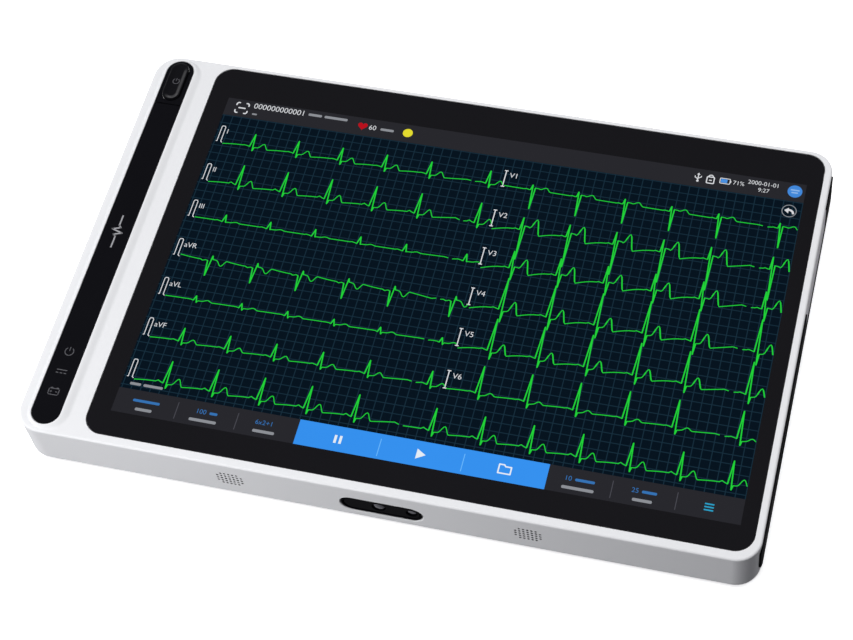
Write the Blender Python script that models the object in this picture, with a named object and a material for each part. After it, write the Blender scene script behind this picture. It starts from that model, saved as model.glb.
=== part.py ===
"""A tablet electrocardiograph, modelled piece by piece.

It lies on its back: +Z is up, the display faces up, the scanner and speakers are in the front wall at -Y,
the black control strip is on the left at -X and the sockets are in the right wall at +X. The origin is at the
middle of the surface that it rests on. Sizes are in millimetres, and place() turns them into metres.
"""
import math

import bmesh
import bpy

MM = 0.001
GAP = 0.3           # clearance between pieces that touch
ARC_STEPS = 6       # chords in a quarter circle of a large outline

# Housing
BODY_X = (-128.5, 127.7)
BODY_Y = (-81.5, 81.9)
LEFT_RADIUS = 9.0
RIGHT_RADIUS = 8.5
TOP = 21.0          # top border and glass
WALL = 2.2
EDGE_RADIUS = 0.8
PART_LINE = 3.2     # lower rim of the front shell
COVER_BOTTOM = 1.4
COVER_FLOOR = 3.4
COVER_FILLET = 1.5
LIP_TOP = 4.4
LEDGE = 18.8        # shelf that carries the glass
CEILING = 17.4      # underside of the shelf

# Raised ridge and the black strip in it
RIDGE_TOP = TOP + 0.9
RIDGE_FOOT_X = (-125.5, -109.8)
RIDGE_FOOT_Y = (-80.4, 80.6)
STRIP_X = (-123.6, -113.4)
STRIP_Y = (-78.6, 79.3)
STRIP_FLOOR = 20.4
INLAY_BOTTOM = STRIP_FLOOR + GAP
SEAM_Y = 59.2
STRIP_BAY_X = (-125.0, -107.5)
STRIP_BAY_Y = (-76.0, 79.0)
STRIP_BAY_TOP = 19.3
MARK_Y = (-49.9, -58.0, -65.9)

# Power button
BUTTON_X = -118.6
BUTTON_Y = (61.0, 77.9)
BUTTON_WIDTH = 6.7
BUTTON_TOP = RIDGE_TOP + 0.9
BUTTON_FLANGE = (18.3, 19.0)

# Display
GLASS_X = (-104.3, 124.9)
GLASS_Y = (-78.0, 80.0)
GLASS_Z = (19.7, 20.95)
GLASS_RADIUS = 6.5
SHELF_WIDTH = 2.25
LCD_X = (-99.5, 122.0)
LCD_Y = (-72.2, 70.3)
LCD_Z = (16.0, 19.4)
FRAME_X = (-101.5, 121.5)
FRAME_Y = (-72.4, 72.4)
FRAME_Z = (15.0, 15.7)
CABLE_SLOT = ((30.0, 60.0), (42.0, 60.0))

# Front wall
SPEAKER_X = 51.7
SPEAKER_BACK = -72.8
SPEAKER_HALF = 4.9
GRILLE_Z = 11.6
HOLE_RADIUS = 0.4
HOLE_PITCH_X = 1.4
HOLE_PITCH_Z = 1.62
HOLE_COLUMNS = (3, 5, 5, 5, 5, 5, 3)
SCAN_X = 1.3
SCAN_Z = 9.8
SCAN_SIZE = (28.9, 8.9)
LENS_X = 0.3
AIMER_X = 11.7
ENGINE_X = (-10.5, 15.0)
ENGINE_Z = (6.0, 14.6)
ENGINE_BACK = -65.5

# Right wall
PANEL_Y = (-75.6, 74.6)
PANEL_Z = (4.7, 19.4)
PANEL_FACE = 128.2      # a little proud of the wall
SKIN_BACK = 126.7
BLOCK_Y = (-73.5, 72.7)
BLOCK_Z = (4.9, 16.9)
BLOCK_BACK = 124.2
FLAP_Y = (15.0, 59.4)
FLAP_Z = (5.8, 18.6)
FLAP_FACE = 127.9
FLAP_THICKNESS = 2.0
FLAP_TIP = 1.1          # its thickness at the free edge
USB_Y = (22.6, 35.8)
USB_Z = (6.9, 12.7)
CARD_Y = (42.3, 54.7)
CARD_Z = (8.6, 10.4)
SOCKET_FACE = 125.2     # faces of the two data sockets behind the flap
PIN_RADIUS = 0.4
PIN_BORE = 0.65
SOCKET_Y = -32.0
SOCKET_Z = 10.4
LOCK_SPACING = 33.3
INLET_Y = 0.0

# Boards and battery
MAIN_BOARD = ((-96.0, 117.0), (6.0, 72.4), (10.7, 12.3))
ECG_BOARD = ((54.0, 113.0), (-62.0, -6.0), (9.4, 11.0))
BUTTON_BOARD = ((-124.4, -108.5), (-70.0, 74.5), (14.4, 15.4))
BAY_X = (-58.5, 48.5)
BAY_Y = (-61.0, -3.0)
BAY_WALL = 1.3
BAY_TOP = 12.8
CONTACTS_X = (-12.0, 2.0)
DOOR_STEP = 2.6
DOOR_X = (-62.5, 52.5)
DOOR_Y = (-65.0, 6.3)
DOOR_SCREWS = ((-34.0, 3.0), (24.0, 3.0))
FOOT_PLACES = ((-112.0, -66.0), (112.0, -66.0), (-112.0, 66.0), (112.0, 66.0))
FOOT_RADIUS = 6.0
BOSS_Y = 75.2
CASE_SCREWS = ((-103.0, -BOSS_Y), (108.0, -BOSS_Y), (-95.0, BOSS_Y), (108.0, BOSS_Y))
MAIN_SCREWS = ((-91.0, 66.0), (60.0, 11.0))
MAIN_PINS = ((-91.0, 11.0), (98.0, 66.0))
ECG_SCREWS = ((58.0, -10.0), (109.0, -58.0))
ECG_PINS = ((58.0, -58.0),)
STRIP_PINS = ((-110.4, -60.0), (-110.4, 0.0), (-110.4, 54.0))
POST_RADIUS = 2.4
PIN_SIZE = 0.95
BOARD_HOLE = 1.3


# ---------------------------------------------------------------- shapes

def place(u, v, w, axis):
    """A point whose u and v lie across an extrusion, and w along it, in metres."""
    if axis == "X":
        point = (w, u, v)
    elif axis == "Y":
        point = (u, w, v)
    else:
        point = (u, v, w)
    return [value * MM for value in point]


def rounded(u_range, v_range, radii, steps=ARC_STEPS):
    """Rounded rectangle, counterclockwise. radii is one radius, or those of the corners from lower left."""
    if not isinstance(radii, tuple):
        radii = (radii,) * 4
    (u0, u1), (v0, v1) = u_range, v_range
    corners = ((u0, v0, 1, 1, 180), (u1, v0, -1, 1, 270), (u1, v1, -1, -1, 0), (u0, v1, 1, -1, 90))
    points = []
    for (u, v, side_u, side_v, start), radius in zip(corners, radii):
        for step in range(steps + 1):
            angle = math.radians(start + 90 * step / steps)
            points.append((u + side_u * radius + radius * math.cos(angle),
                           v + side_v * radius + radius * math.sin(angle)))
    return points


def pill(centre, size, steps=ARC_STEPS):
    """Outline with full round ends, of the given length along u and height along v."""
    (u, v), (length, height) = centre, size
    radius = min(length, height) / 2 - 0.01
    return rounded((u - length / 2, u + length / 2), (v - height / 2, v + height / 2), radius, steps)


def circle(centre, radius, sides=16):
    return [(centre[0] + radius * math.cos(math.tau * k / sides),
             centre[1] + radius * math.sin(math.tau * k / sides)) for k in range(sides)]


def grown(u_range, v_range, by):
    """Both ranges, moved out by a distance on every side."""
    return (u_range[0] - by, u_range[1] + by), (v_range[0] - by, v_range[1] + by)


def loft(shape, sections, axis="Z", ring=False):
    """Skin a list of (outline, height). A ring's last section joins its first, and other ends are capped."""
    loops = [[shape.verts.new(place(u, v, w, axis)) for u, v in outline] for outline, w in sections]
    pairs = list(zip(loops, loops[1:]))
    if ring:
        pairs.append((loops[-1], loops[0]))
    else:
        shape.faces.new(loops[0][::-1])
        shape.faces.new(loops[-1])
    for low, high in pairs:
        for k in range(len(low)):
            n = (k + 1) % len(low)
            shape.faces.new((low[k], low[n], high[n], high[k]))


def prism(shape, outline, w_range, axis="Z"):
    loft(shape, [(outline, w_range[0]), (outline, w_range[1])], axis)


def block(shape, x_range, y_range, z_range):
    (x0, x1), (y0, y1) = x_range, y_range
    prism(shape, [(x0, y0), (x1, y0), (x1, y1), (x0, y1)], z_range)


def cylinder(shape, centre, radius, w_range, axis="Z", sides=16):
    prism(shape, circle(centre, radius, sides), w_range, axis)


def tube(shape, outer, inner, w_range, axis="Z"):
    low, high = w_range
    loft(shape, [(outer, low), (outer, high), (inner, high), (inner, low)], axis, ring=True)


def ribbon(shape, path, thickness, w_range, axis):
    """A flat cable: a path across the extrusion, thickened on one side."""
    upper = [(u, v + thickness) for u, v in path]
    prism(shape, path + upper[::-1], w_range, axis)


def between(u, half):
    return u - half, u + half


# ---------------------------------------------------------------- objects

def finish(name, shape, look=None):
    """Turn a shape into a named object, with every solid's faces pointing out."""
    bmesh.ops.recalc_face_normals(shape, faces=shape.faces[:])
    mesh = bpy.data.meshes.new(name)
    shape.to_mesh(mesh)
    shape.free()
    mesh.shade_smooth()
    mesh.set_sharp_from_angle(angle=math.radians(35))
    item = bpy.data.objects.new(name, mesh)
    bpy.context.scene.collection.objects.link(item)
    if look:
        mesh.materials.append(material(name, *look))
    return item


def material(name, colour, roughness, metallic=0.0):
    result = bpy.data.materials.new(name)
    result.use_nodes = True
    shader = result.node_tree.nodes["Principled BSDF"]
    shader.inputs["Base Color"].default_value = (*colour, 1.0)
    shader.inputs["Roughness"].default_value = roughness
    shader.inputs["Metallic"].default_value = metallic
    return result


def combine(item, shape, operation, name):
    """Cut a shape out of an object, or join it on."""
    tool = finish(name, shape)
    tool.hide_render = True
    tool.display_type = "WIRE"
    modifier = item.modifiers.new(name, "BOOLEAN")
    modifier.operation = operation
    modifier.use_self = True
    modifier.object = tool


def cut(item, shape, name):
    combine(item, shape, "DIFFERENCE", name)


def join(item, shape, name):
    combine(item, shape, "UNION", name)


WHITE = ((0.83, 0.84, 0.86), 0.42)
BLACK = ((0.012, 0.012, 0.014), 0.25)
GREY = ((0.42, 0.42, 0.45), 0.5)
DARK = ((0.05, 0.05, 0.055), 0.5)
BOARD = ((0.02, 0.16, 0.07), 0.5)
TIN = ((0.72, 0.72, 0.70), 0.3, 1.0)
STEEL = ((0.55, 0.55, 0.57), 0.35, 1.0)
COPPER = ((0.55, 0.36, 0.12), 0.4, 0.5)
CLEAR = ((0.8, 0.82, 0.85), 0.2)
LENS = ((0.12, 0.12, 0.15), 0.08)
PALE_LENS = ((0.25, 0.25, 0.28), 0.15)
DISPLAY = ((0.25, 0.26, 0.28), 0.3, 0.6)
ALUMINIUM = ((0.62, 0.63, 0.65), 0.35, 1.0)
PAD_BLUE = ((0.35, 0.5, 0.6), 0.7)
WRAP = ((0.08, 0.09, 0.11), 0.6)
RED = ((0.45, 0.03, 0.03), 0.5)
RUBBER = ((0.03, 0.03, 0.03), 0.8)
AMBER = ((0.85, 0.42, 0.08), 0.5)


# ---------------------------------------------------------------- housing

def body_outline(inset):
    """The outline of the housing, moved in from its outer face."""
    left = max(LEFT_RADIUS - inset, 1.0)
    right = max(RIGHT_RADIUS - inset, 1.0)
    return rounded(*grown(BODY_X, BODY_Y, -inset), (left, right, right, left))


def strip_outline(margin, lower=STRIP_Y[0], upper=STRIP_Y[1]):
    """The black strip's outline, moved out by a margin, between two heights. A cut end is nearly square."""
    x_range, y_range = grown(STRIP_X, (lower, upper), margin)
    full = (x_range[1] - x_range[0]) / 2 - 0.01
    low = full if lower == STRIP_Y[0] else 0.3
    high = full if upper == STRIP_Y[1] else 0.3
    return rounded(x_range, y_range, (low, low, high, high))


def button_outline(margin):
    length = BUTTON_Y[1] - BUTTON_Y[0]
    return pill((BUTTON_X, sum(BUTTON_Y) / 2), (BUTTON_WIDTH + 2 * margin, length + 2 * margin))


def make_front_shell():
    opening = rounded(*grown(GLASS_X, GLASS_Y, 0.25), GLASS_RADIUS + 0.25)
    shelf = rounded(*grown(GLASS_X, GLASS_Y, 0.25 - SHELF_WIDTH), GLASS_RADIUS - 1.5)
    sections = [(body_outline(0.0), PART_LINE)]
    for step in range(4):
        angle = math.radians(30 * step)
        sections.append((body_outline(EDGE_RADIUS * (1 - math.cos(angle))),
                         TOP - EDGE_RADIUS * (1 - math.sin(angle))))
    sections += [(opening, TOP), (opening, LEDGE), (shelf, LEDGE), (shelf, CEILING),
                 (body_outline(WALL), CEILING), (body_outline(WALL), PART_LINE)]
    shape = bmesh.new()
    loft(shape, sections, ring=True)
    shell = finish("front_shell", shape, WHITE)
    join(shell, ridge(), "ridge")
    join(shell, screw_bosses(), "screw_bosses")
    cut(shell, strip_pockets(), "strip_pockets")
    join(shell, strip_posts(), "strip_posts")
    cut(shell, screw_holes(1.35, (PART_LINE - 1, 13.0)), "shell_screw_holes")
    cut(shell, front_holes(), "front_holes")
    cut(shell, panel_recess(), "panel_recess")


def ridge():
    """A low island around the strip, with an S-shaped slope on all sides."""
    crest = grown(STRIP_X, STRIP_Y, 0.6)
    sections = []
    for part in (0.0, 0.25, 0.5, 0.75, 1.0):
        x_range = [low + (high - low) * part for low, high in zip(RIDGE_FOOT_X, crest[0])]
        y_range = [low + (high - low) * part for low, high in zip(RIDGE_FOOT_Y, crest[1])]
        height = TOP + (RIDGE_TOP - TOP) * (3 * part ** 2 - 2 * part ** 3)
        radius = (x_range[1] - x_range[0]) / 2 - 0.01
        sections.append((rounded(x_range, y_range, radius), height))
    sections.insert(0, (sections[0][0], TOP - 0.5))
    shape = bmesh.new()
    loft(shape, sections)
    return shape


def screw_bosses():
    """Posts for the case screws, each tied to the nearest wall by a rib."""
    shape = bmesh.new()
    for x, y in CASE_SCREWS:
        cylinder(shape, (x, y), 2.3, (COVER_FLOOR + GAP, CEILING + 0.5), sides=12)
        wall = BODY_Y[1] - WALL + 0.6 if y > 0 else BODY_Y[0] + WALL - 0.6
        ends = sorted((y, wall))
        block(shape, between(x, 0.7), ends, (LIP_TOP + GAP, CEILING + 0.3))
    return shape


def strip_posts():
    """Stepped posts that hold the button board under the strip."""
    board = BUTTON_BOARD[2]
    shape = bmesh.new()
    for spot in STRIP_PINS:
        pin, post = circle(spot, PIN_SIZE, 12), circle(spot, POST_RADIUS - 0.6, 12)
        loft(shape, [(pin, board[0] - 0.6), (pin, board[1] + GAP), (post, board[1] + GAP),
                     (post, STRIP_BAY_TOP + 0.5)])
    return shape


def screw_holes(radius, z_range):
    shape = bmesh.new()
    for place_xy in CASE_SCREWS:
        cylinder(shape, place_xy, radius, z_range, sides=12)
    return shape


def strip_pockets():
    """Pocket for the black strip and the bay under it."""
    shape = bmesh.new()
    prism(shape, strip_outline(0.2), (STRIP_FLOOR, RIDGE_TOP + 1))
    block(shape, STRIP_BAY_X, STRIP_BAY_Y, (CEILING - 1, STRIP_BAY_TOP))
    return shape


def front_holes():
    """Speaker holes and the scanner opening, through the front wall."""
    shape = bmesh.new()
    depth = (BODY_Y[0] - 1, BODY_Y[0] + WALL + 1)
    for side in (-1, 1):
        for column, count in enumerate(HOLE_COLUMNS):
            x = side * SPEAKER_X + (column - len(HOLE_COLUMNS) // 2) * HOLE_PITCH_X
            for row in range(count):
                z = GRILLE_Z + (row - (count - 1) / 2) * HOLE_PITCH_Z
                cylinder(shape, (x, z), HOLE_RADIUS, depth, "Y", sides=6)
    prism(shape, pill((SCAN_X, SCAN_Z), SCAN_SIZE), depth, "Y")
    return shape


def panel_recess():
    """Shallow seat for the side panel's skin, and the cut-out for the block behind it."""
    shape = bmesh.new()
    skin = rounded(*grown(PANEL_Y, PANEL_Z, GAP), 3.0, 4)
    inner = rounded(*grown(BLOCK_Y, BLOCK_Z, GAP - 0.05), 1.5, 4)
    loft(shape, [(inner, BLOCK_BACK - 2), (inner, SKIN_BACK - GAP), (skin, SKIN_BACK - GAP),
                 (skin, BODY_X[1] + 2)], "X")
    return shape


def make_rear_cover():
    sections = []
    for step in range(4):
        angle = math.radians(30 * step)
        sections.append((body_outline(COVER_FILLET * (1 - math.sin(angle))),
                         COVER_BOTTOM + COVER_FILLET * (1 - math.cos(angle))))
    lip = WALL + GAP
    sections += [(body_outline(lip), PART_LINE - GAP), (body_outline(lip), LIP_TOP),
                 (body_outline(lip + 1.2), LIP_TOP), (body_outline(lip + 1.2), COVER_FLOOR)]
    shape = bmesh.new()
    loft(shape, sections)
    cover = finish("rear_cover", shape, WHITE)
    join(cover, bay_walls(), "bay_walls")
    cut(cover, cover_cuts(), "cover_cuts")
    cut(cover, door_screw_holes(), "door_screw_holes")


def bay_walls():
    """Wall around the battery, and posts for the battery cover's screws."""
    outer = rounded(*grown(BAY_X, BAY_Y, BAY_WALL), 2.0, 3)
    inner = rounded(BAY_X, BAY_Y, 1.0, 3)
    shape = bmesh.new()
    tube(shape, outer, inner, (COVER_FLOOR - 0.6, BAY_TOP))
    for spot in DOOR_SCREWS:
        cylinder(shape, spot, 2.6, (COVER_FLOOR - 0.6, 7.6), sides=12)
    return shape


def cover_cuts():
    """Battery opening with its step, foot seats, countersunk holes and the gap for the battery contacts."""
    shape = bmesh.new()
    step = rounded(DOOR_X, DOOR_Y, 3.0, 3)
    mouth = rounded(*grown(BAY_X, BAY_Y, -0.02), 1.0, 3)
    loft(shape, [(step, COVER_BOTTOM - 1), (step, DOOR_STEP), (mouth, DOOR_STEP), (mouth, COVER_FLOOR + 2)])
    for spot in FOOT_PLACES:
        cylinder(shape, spot, FOOT_RADIUS + GAP, (COVER_BOTTOM - 1, 2.2), sides=20)
    for spot in CASE_SCREWS:
        countersink(shape, spot, COVER_FLOOR + 1)
    block(shape, (CONTACTS_X[0] - GAP, CONTACTS_X[1] + GAP), (-3.5, -1.0), (COVER_FLOOR + 0.4, BAY_TOP + 1))
    return shape


def door_screw_holes():
    shape = bmesh.new()
    for spot in DOOR_SCREWS:
        cylinder(shape, spot, 1.2, (DOOR_STEP - 0.5, 7.0), sides=12)
    return shape


def countersink(shape, spot, top):
    """Cutter for a flat-head screw that comes from below."""
    sections = [(circle(spot, 2.3, 12), COVER_BOTTOM - 1), (circle(spot, 2.3, 12), COVER_BOTTOM + 0.2),
                (circle(spot, 1.35, 12), COVER_BOTTOM + 1.1), (circle(spot, 1.35, 12), top)]
    loft(shape, sections)


def flat_head_screw(shape, spot, shank, top):
    """Screw with its head down and a round driver recess."""
    sections = [(circle(spot, 0.8, 12), COVER_BOTTOM + 0.75), (circle(spot, 0.8, 12), COVER_BOTTOM + 0.1),
                (circle(spot, 1.95, 12), COVER_BOTTOM + 0.1), (circle(spot, 1.95, 12), COVER_BOTTOM + 0.25),
                (circle(spot, shank, 12), COVER_BOTTOM + 1.2), (circle(spot, shank, 12), top)]
    loft(shape, sections)


def make_case_screws():
    for number, spot in enumerate(CASE_SCREWS, 1):
        shape = bmesh.new()
        flat_head_screw(shape, spot, 1.0, 12.0)
        finish(f"case_screw_{number}", shape, STEEL)


def make_battery_cover():
    flange = rounded(*grown(DOOR_X, DOOR_Y, -GAP), 2.7, 3)
    plug = rounded(*grown(BAY_X, BAY_Y, -GAP), 0.8, 3)
    shape = bmesh.new()
    loft(shape, [(flange, COVER_BOTTOM), (flange, DOOR_STEP - GAP), (plug, DOOR_STEP - GAP),
                 (plug, COVER_FLOOR - 0.1)])
    door = finish("battery_cover", shape, WHITE)
    holes = bmesh.new()
    for spot in DOOR_SCREWS:
        countersink(holes, spot, COVER_FLOOR)
    grip = rounded((-14.0, 4.0), (-61.0, -58.0), 1.4, 3)
    prism(holes, grip, (COVER_BOTTOM - 1, COVER_BOTTOM + 0.6))
    cut(door, holes, "door_holes")


def make_battery_cover_screws():
    for number, spot in enumerate(DOOR_SCREWS, 1):
        shape = bmesh.new()
        flat_head_screw(shape, spot, 0.9, 6.5)
        finish(f"battery_cover_screw_{number}", shape, STEEL)


def make_rubber_feet():
    for number, spot in enumerate(FOOT_PLACES, 1):
        shape = bmesh.new()
        loft(shape, [(circle(spot, FOOT_RADIUS - 0.5, 20), 0.0), (circle(spot, FOOT_RADIUS - 0.1, 20), 0.4),
                     (circle(spot, FOOT_RADIUS, 20), 1.9)])
        finish(f"rubber_foot_{number}", shape, RUBBER)


# ---------------------------------------------------------------- strip and button

def make_strip_inlay():
    outline = strip_outline(0.0, upper=SEAM_Y - GAP / 2)
    inner = strip_outline(-0.25, upper=SEAM_Y - GAP / 2)
    shape = bmesh.new()
    loft(shape, [(outline, INLAY_BOTTOM), (outline, RIDGE_TOP - 0.2), (inner, RIDGE_TOP)])
    finish("strip_inlay", shape, BLACK)


def make_button_bezel():
    outline = strip_outline(0.0, lower=SEAM_Y + GAP / 2)
    shape = bmesh.new()
    prism(shape, outline, (INLAY_BOTTOM, RIDGE_TOP))
    bezel = finish("button_bezel", shape, BLACK)
    hole = bmesh.new()
    prism(hole, button_outline(GAP), (INLAY_BOTTOM - 1, RIDGE_TOP + 1))
    cut(bezel, hole, "bezel_hole")


def make_button_hole():
    """The button's way through the shell, and three light holes under the strip."""
    shape = bmesh.new()
    prism(shape, button_outline(GAP), (STRIP_BAY_TOP - 1, STRIP_FLOOR + 1))
    for y in MARK_Y:
        block(shape, between(BUTTON_X, 2.4), between(y, 1.9), (STRIP_BAY_TOP - 1, STRIP_FLOOR + 1))
    cut(bpy.data.objects["front_shell"], shape, "button_hole")


def make_power_button():
    """Pill with a soft rim, a dished top and a flange that keeps it in the shell."""
    sections = [(button_outline(0.75), BUTTON_FLANGE[0]), (button_outline(0.75), BUTTON_FLANGE[1]),
                (button_outline(0.0), BUTTON_FLANGE[1]), (button_outline(0.0), BUTTON_TOP - 0.25),
                (button_outline(-0.2), BUTTON_TOP), (button_outline(-0.45), BUTTON_TOP),
                (button_outline(-1.2), BUTTON_TOP - 0.55), (button_outline(-1.7), BUTTON_TOP - 0.7)]
    shape = bmesh.new()
    loft(shape, sections)
    finish("power_button", shape, DARK)


def make_button_electronics():
    x_range, y_range, z_range = BUTTON_BOARD
    centre = (BUTTON_X, sum(BUTTON_Y) / 2)
    shape = bmesh.new()
    prism(shape, rounded(x_range, y_range, 2.0, 3), z_range)
    board = finish("button_board", shape, BOARD)
    lights = bmesh.new()
    for y in MARK_Y:
        block(lights, between(BUTTON_X, 0.8), between(y, 0.5), (z_range[1] - 0.3, 16.4))
    join(board, lights, "status_lights")
    cut(board, board_holes(STRIP_PINS, z_range), "button_board_holes")

    shape = bmesh.new()
    outer = pill(centre, (6.0, 6.0), 4)
    bore = pill(centre, (3.2, 3.2), 4)
    loft(shape, [(bore, 15.95), (bore, 16.9), (outer, 16.9), (outer, z_range[1] + GAP)])
    finish("power_switch", shape, DARK)

    shape = bmesh.new()
    cylinder(shape, centre, 1.25, (16.5, BUTTON_FLANGE[0] - GAP), sides=16)
    finish("switch_plunger", shape, GREY)

    shape = bmesh.new()
    bar = rounded(between(BUTTON_X, 2.9), (MARK_Y[2] - 2.6, MARK_Y[0] + 2.6), 0.8, 3)
    prism(shape, bar, (16.8, 18.0))
    guides = finish("light_guides", shape, CLEAR)
    pillars = bmesh.new()
    for y in MARK_Y:
        block(pillars, between(BUTTON_X, 2.0), between(y, 1.5), (17.5, STRIP_FLOOR))
    join(guides, pillars, "light_pillars")


# ---------------------------------------------------------------- display

def make_display():
    outline = rounded(GLASS_X, GLASS_Y, GLASS_RADIUS)
    inner = rounded(*grown(GLASS_X, GLASS_Y, -0.2), GLASS_RADIUS - 0.2)
    shape = bmesh.new()
    loft(shape, [(outline, GLASS_Z[0]), (outline, GLASS_Z[1] - 0.2), (inner, GLASS_Z[1])])
    finish("cover_glass", shape, BLACK)

    seal_outer = rounded(*grown(GLASS_X, GLASS_Y, -GAP), GLASS_RADIUS - GAP)
    seal_inner = rounded(*grown(GLASS_X, GLASS_Y, -SHELF_WIDTH + 0.25), GLASS_RADIUS - 1.5)
    shape = bmesh.new()
    tube(shape, seal_outer, seal_inner, (LEDGE + 0.25, GLASS_Z[0] - 0.25))
    finish("glass_gasket", shape, RUBBER)

    shape = bmesh.new()
    prism(shape, rounded(LCD_X, LCD_Y, 1.0, 2), LCD_Z)
    finish("lcd_panel", shape, DISPLAY)

    shape = bmesh.new()
    prism(shape, rounded(FRAME_X, FRAME_Y, 2.0, 3), FRAME_Z)
    frame = finish("mid_frame", shape, ALUMINIUM)
    slots = bmesh.new()
    prism(slots, rounded(*CABLE_SLOT, 1.5, 3), (FRAME_Z[0] - 1, FRAME_Z[1] + 1))
    cut(frame, slots, "cable_slot")
    join(frame, frame_posts(), "frame_posts")
    holes = bmesh.new()
    for spot in MAIN_SCREWS + ECG_SCREWS:
        cylinder(holes, spot, BOARD_HOLE, (FRAME_Z[0] - 6, FRAME_Z[0] - 0.2), sides=12)
    cut(frame, holes, "post_holes")

    shape = bmesh.new()
    path = [(57.0, 15.3), (50.5, 15.3), (48.8, 14.9), (48.0, 14.0), (47.2, 13.2), (46.0, 12.9), (41.0, 12.9)]
    ribbon(shape, path, 0.25, (33.0, 57.0), "X")
    finish("display_flex", shape, AMBER)


def frame_posts():
    """Posts under the chassis plate: plain ones take a screw, and stepped ones locate a board."""
    shape = bmesh.new()
    for spots, (_, high) in ((MAIN_SCREWS, MAIN_BOARD[2]), (ECG_SCREWS, ECG_BOARD[2])):
        for spot in spots:
            cylinder(shape, spot, POST_RADIUS, (high + GAP, FRAME_Z[0] + 0.3), sides=12)
    for spots, (low, high) in ((MAIN_PINS, MAIN_BOARD[2]), (ECG_PINS, ECG_BOARD[2])):
        for spot in spots:
            pin, post = circle(spot, PIN_SIZE, 12), circle(spot, POST_RADIUS, 12)
            loft(shape, [(pin, low - 0.5), (pin, high + GAP), (post, high + GAP), (post, FRAME_Z[0] + 0.3)])
    return shape


# ---------------------------------------------------------------- front wall pieces

def make_scanner():
    spot = (SCAN_X, SCAN_Z)
    face = BODY_Y[0]
    wall_back = face + WALL + GAP
    sleeve = pill(spot, (SCAN_SIZE[0] - 0.6, SCAN_SIZE[1] - 0.6))
    bore = pill(spot, (SCAN_SIZE[0] - 1.8, SCAN_SIZE[1] - 1.8))
    mouth = pill(spot, (SCAN_SIZE[0] - 4.5, SCAN_SIZE[1] - 3.7))
    flange = pill(spot, (SCAN_SIZE[0] + 3.5, SCAN_SIZE[1] + 1.6))
    seat = face + 1.8
    shape = bmesh.new()
    loft(shape, [(sleeve, face + 0.2), (sleeve, wall_back), (flange, wall_back), (flange, wall_back + 0.9),
                 (mouth, wall_back + 0.9), (mouth, seat), (bore, seat), (bore, face + 0.2)], "Y", ring=True)
    finish("scanner_housing", shape, DARK)

    window = pill(spot, (SCAN_SIZE[0] - 2.4, SCAN_SIZE[1] - 2.4))
    shape = bmesh.new()
    prism(shape, window, (face + 0.5, seat - GAP), "Y")
    pane = finish("scanner_window", shape, BLACK)
    holes = bmesh.new()
    cylinder(holes, (LENS_X, SCAN_Z), 2.3, (face - 1, seat + 1), "Y", 20)
    cylinder(holes, (AIMER_X, SCAN_Z), 1.9, (face - 1, seat + 1), "Y", 20)
    cut(pane, holes, "window_holes")

    engine_front = wall_back + 0.9 + GAP
    barrel = circle((LENS_X, SCAN_Z), 2.0, 20)
    tip, shoulder = circle((LENS_X, SCAN_Z), 1.25, 20), circle((LENS_X, SCAN_Z), 1.7, 20)
    shape = bmesh.new()
    loft(shape, [(tip, face + 0.55), (shoulder, face + 0.75), (barrel, face + 1.1),
                 (barrel, engine_front - GAP)], "Y")
    finish("scanner_lens", shape, LENS)

    shape = bmesh.new()
    tip, rod = circle((AIMER_X, SCAN_Z), 1.2, 20), circle((AIMER_X, SCAN_Z), 1.6, 20)
    loft(shape, [(tip, face + 0.9), (rod, face + 1.2), (rod, engine_front - GAP)], "Y")
    finish("aiming_light", shape, PALE_LENS)

    shape = bmesh.new()
    prism(shape, rounded(ENGINE_X, ENGINE_Z, 1.0, 3), (engine_front, ENGINE_BACK), "Y")
    finish("scanner_engine", shape, DARK)


def make_speakers():
    """Each speaker sits behind a foam ring that holds a dust mesh against the wall."""
    face = BODY_Y[0] + WALL + GAP
    for side, name in ((-1, "left"), (1, "right")):
        spot = (side * SPEAKER_X, GRILLE_Z)
        ring = rounded(between(spot[0], 10.0), between(spot[1], SPEAKER_HALF), 2.0, 4)
        hollow = rounded(between(spot[0], 8.2), between(spot[1], 4.2), 1.5, 4)
        shape = bmesh.new()
        loft(shape, [(hollow, face + 0.4), (hollow, face + 1.6), (ring, face + 1.6), (ring, face)], "Y")
        finish(f"speaker_mesh_{name}", shape, RUBBER)
        front = face + 1.9
        outer = rounded(between(spot[0], 13.0), between(spot[1], SPEAKER_HALF), 1.5, 4)
        rim = rounded(between(spot[0], 8.0), between(spot[1], 3.8), 3.0, 4)
        cone = rounded(between(spot[0], 5.0), between(spot[1], 1.8), 1.5, 4)
        shape = bmesh.new()
        loft(shape, [(cone, front + 1.2), (rim, front + 0.4), (rim, front), (outer, front),
                     (outer, SPEAKER_BACK)], "Y")
        finish(f"speaker_{name}", shape, DARK)


# ---------------------------------------------------------------- right wall pieces

def flap_axis():
    """Where the flap's hinge pin runs, as x and z."""
    half = FLAP_THICKNESS / 2
    return FLAP_FACE - half, FLAP_Z[0] + half


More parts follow.
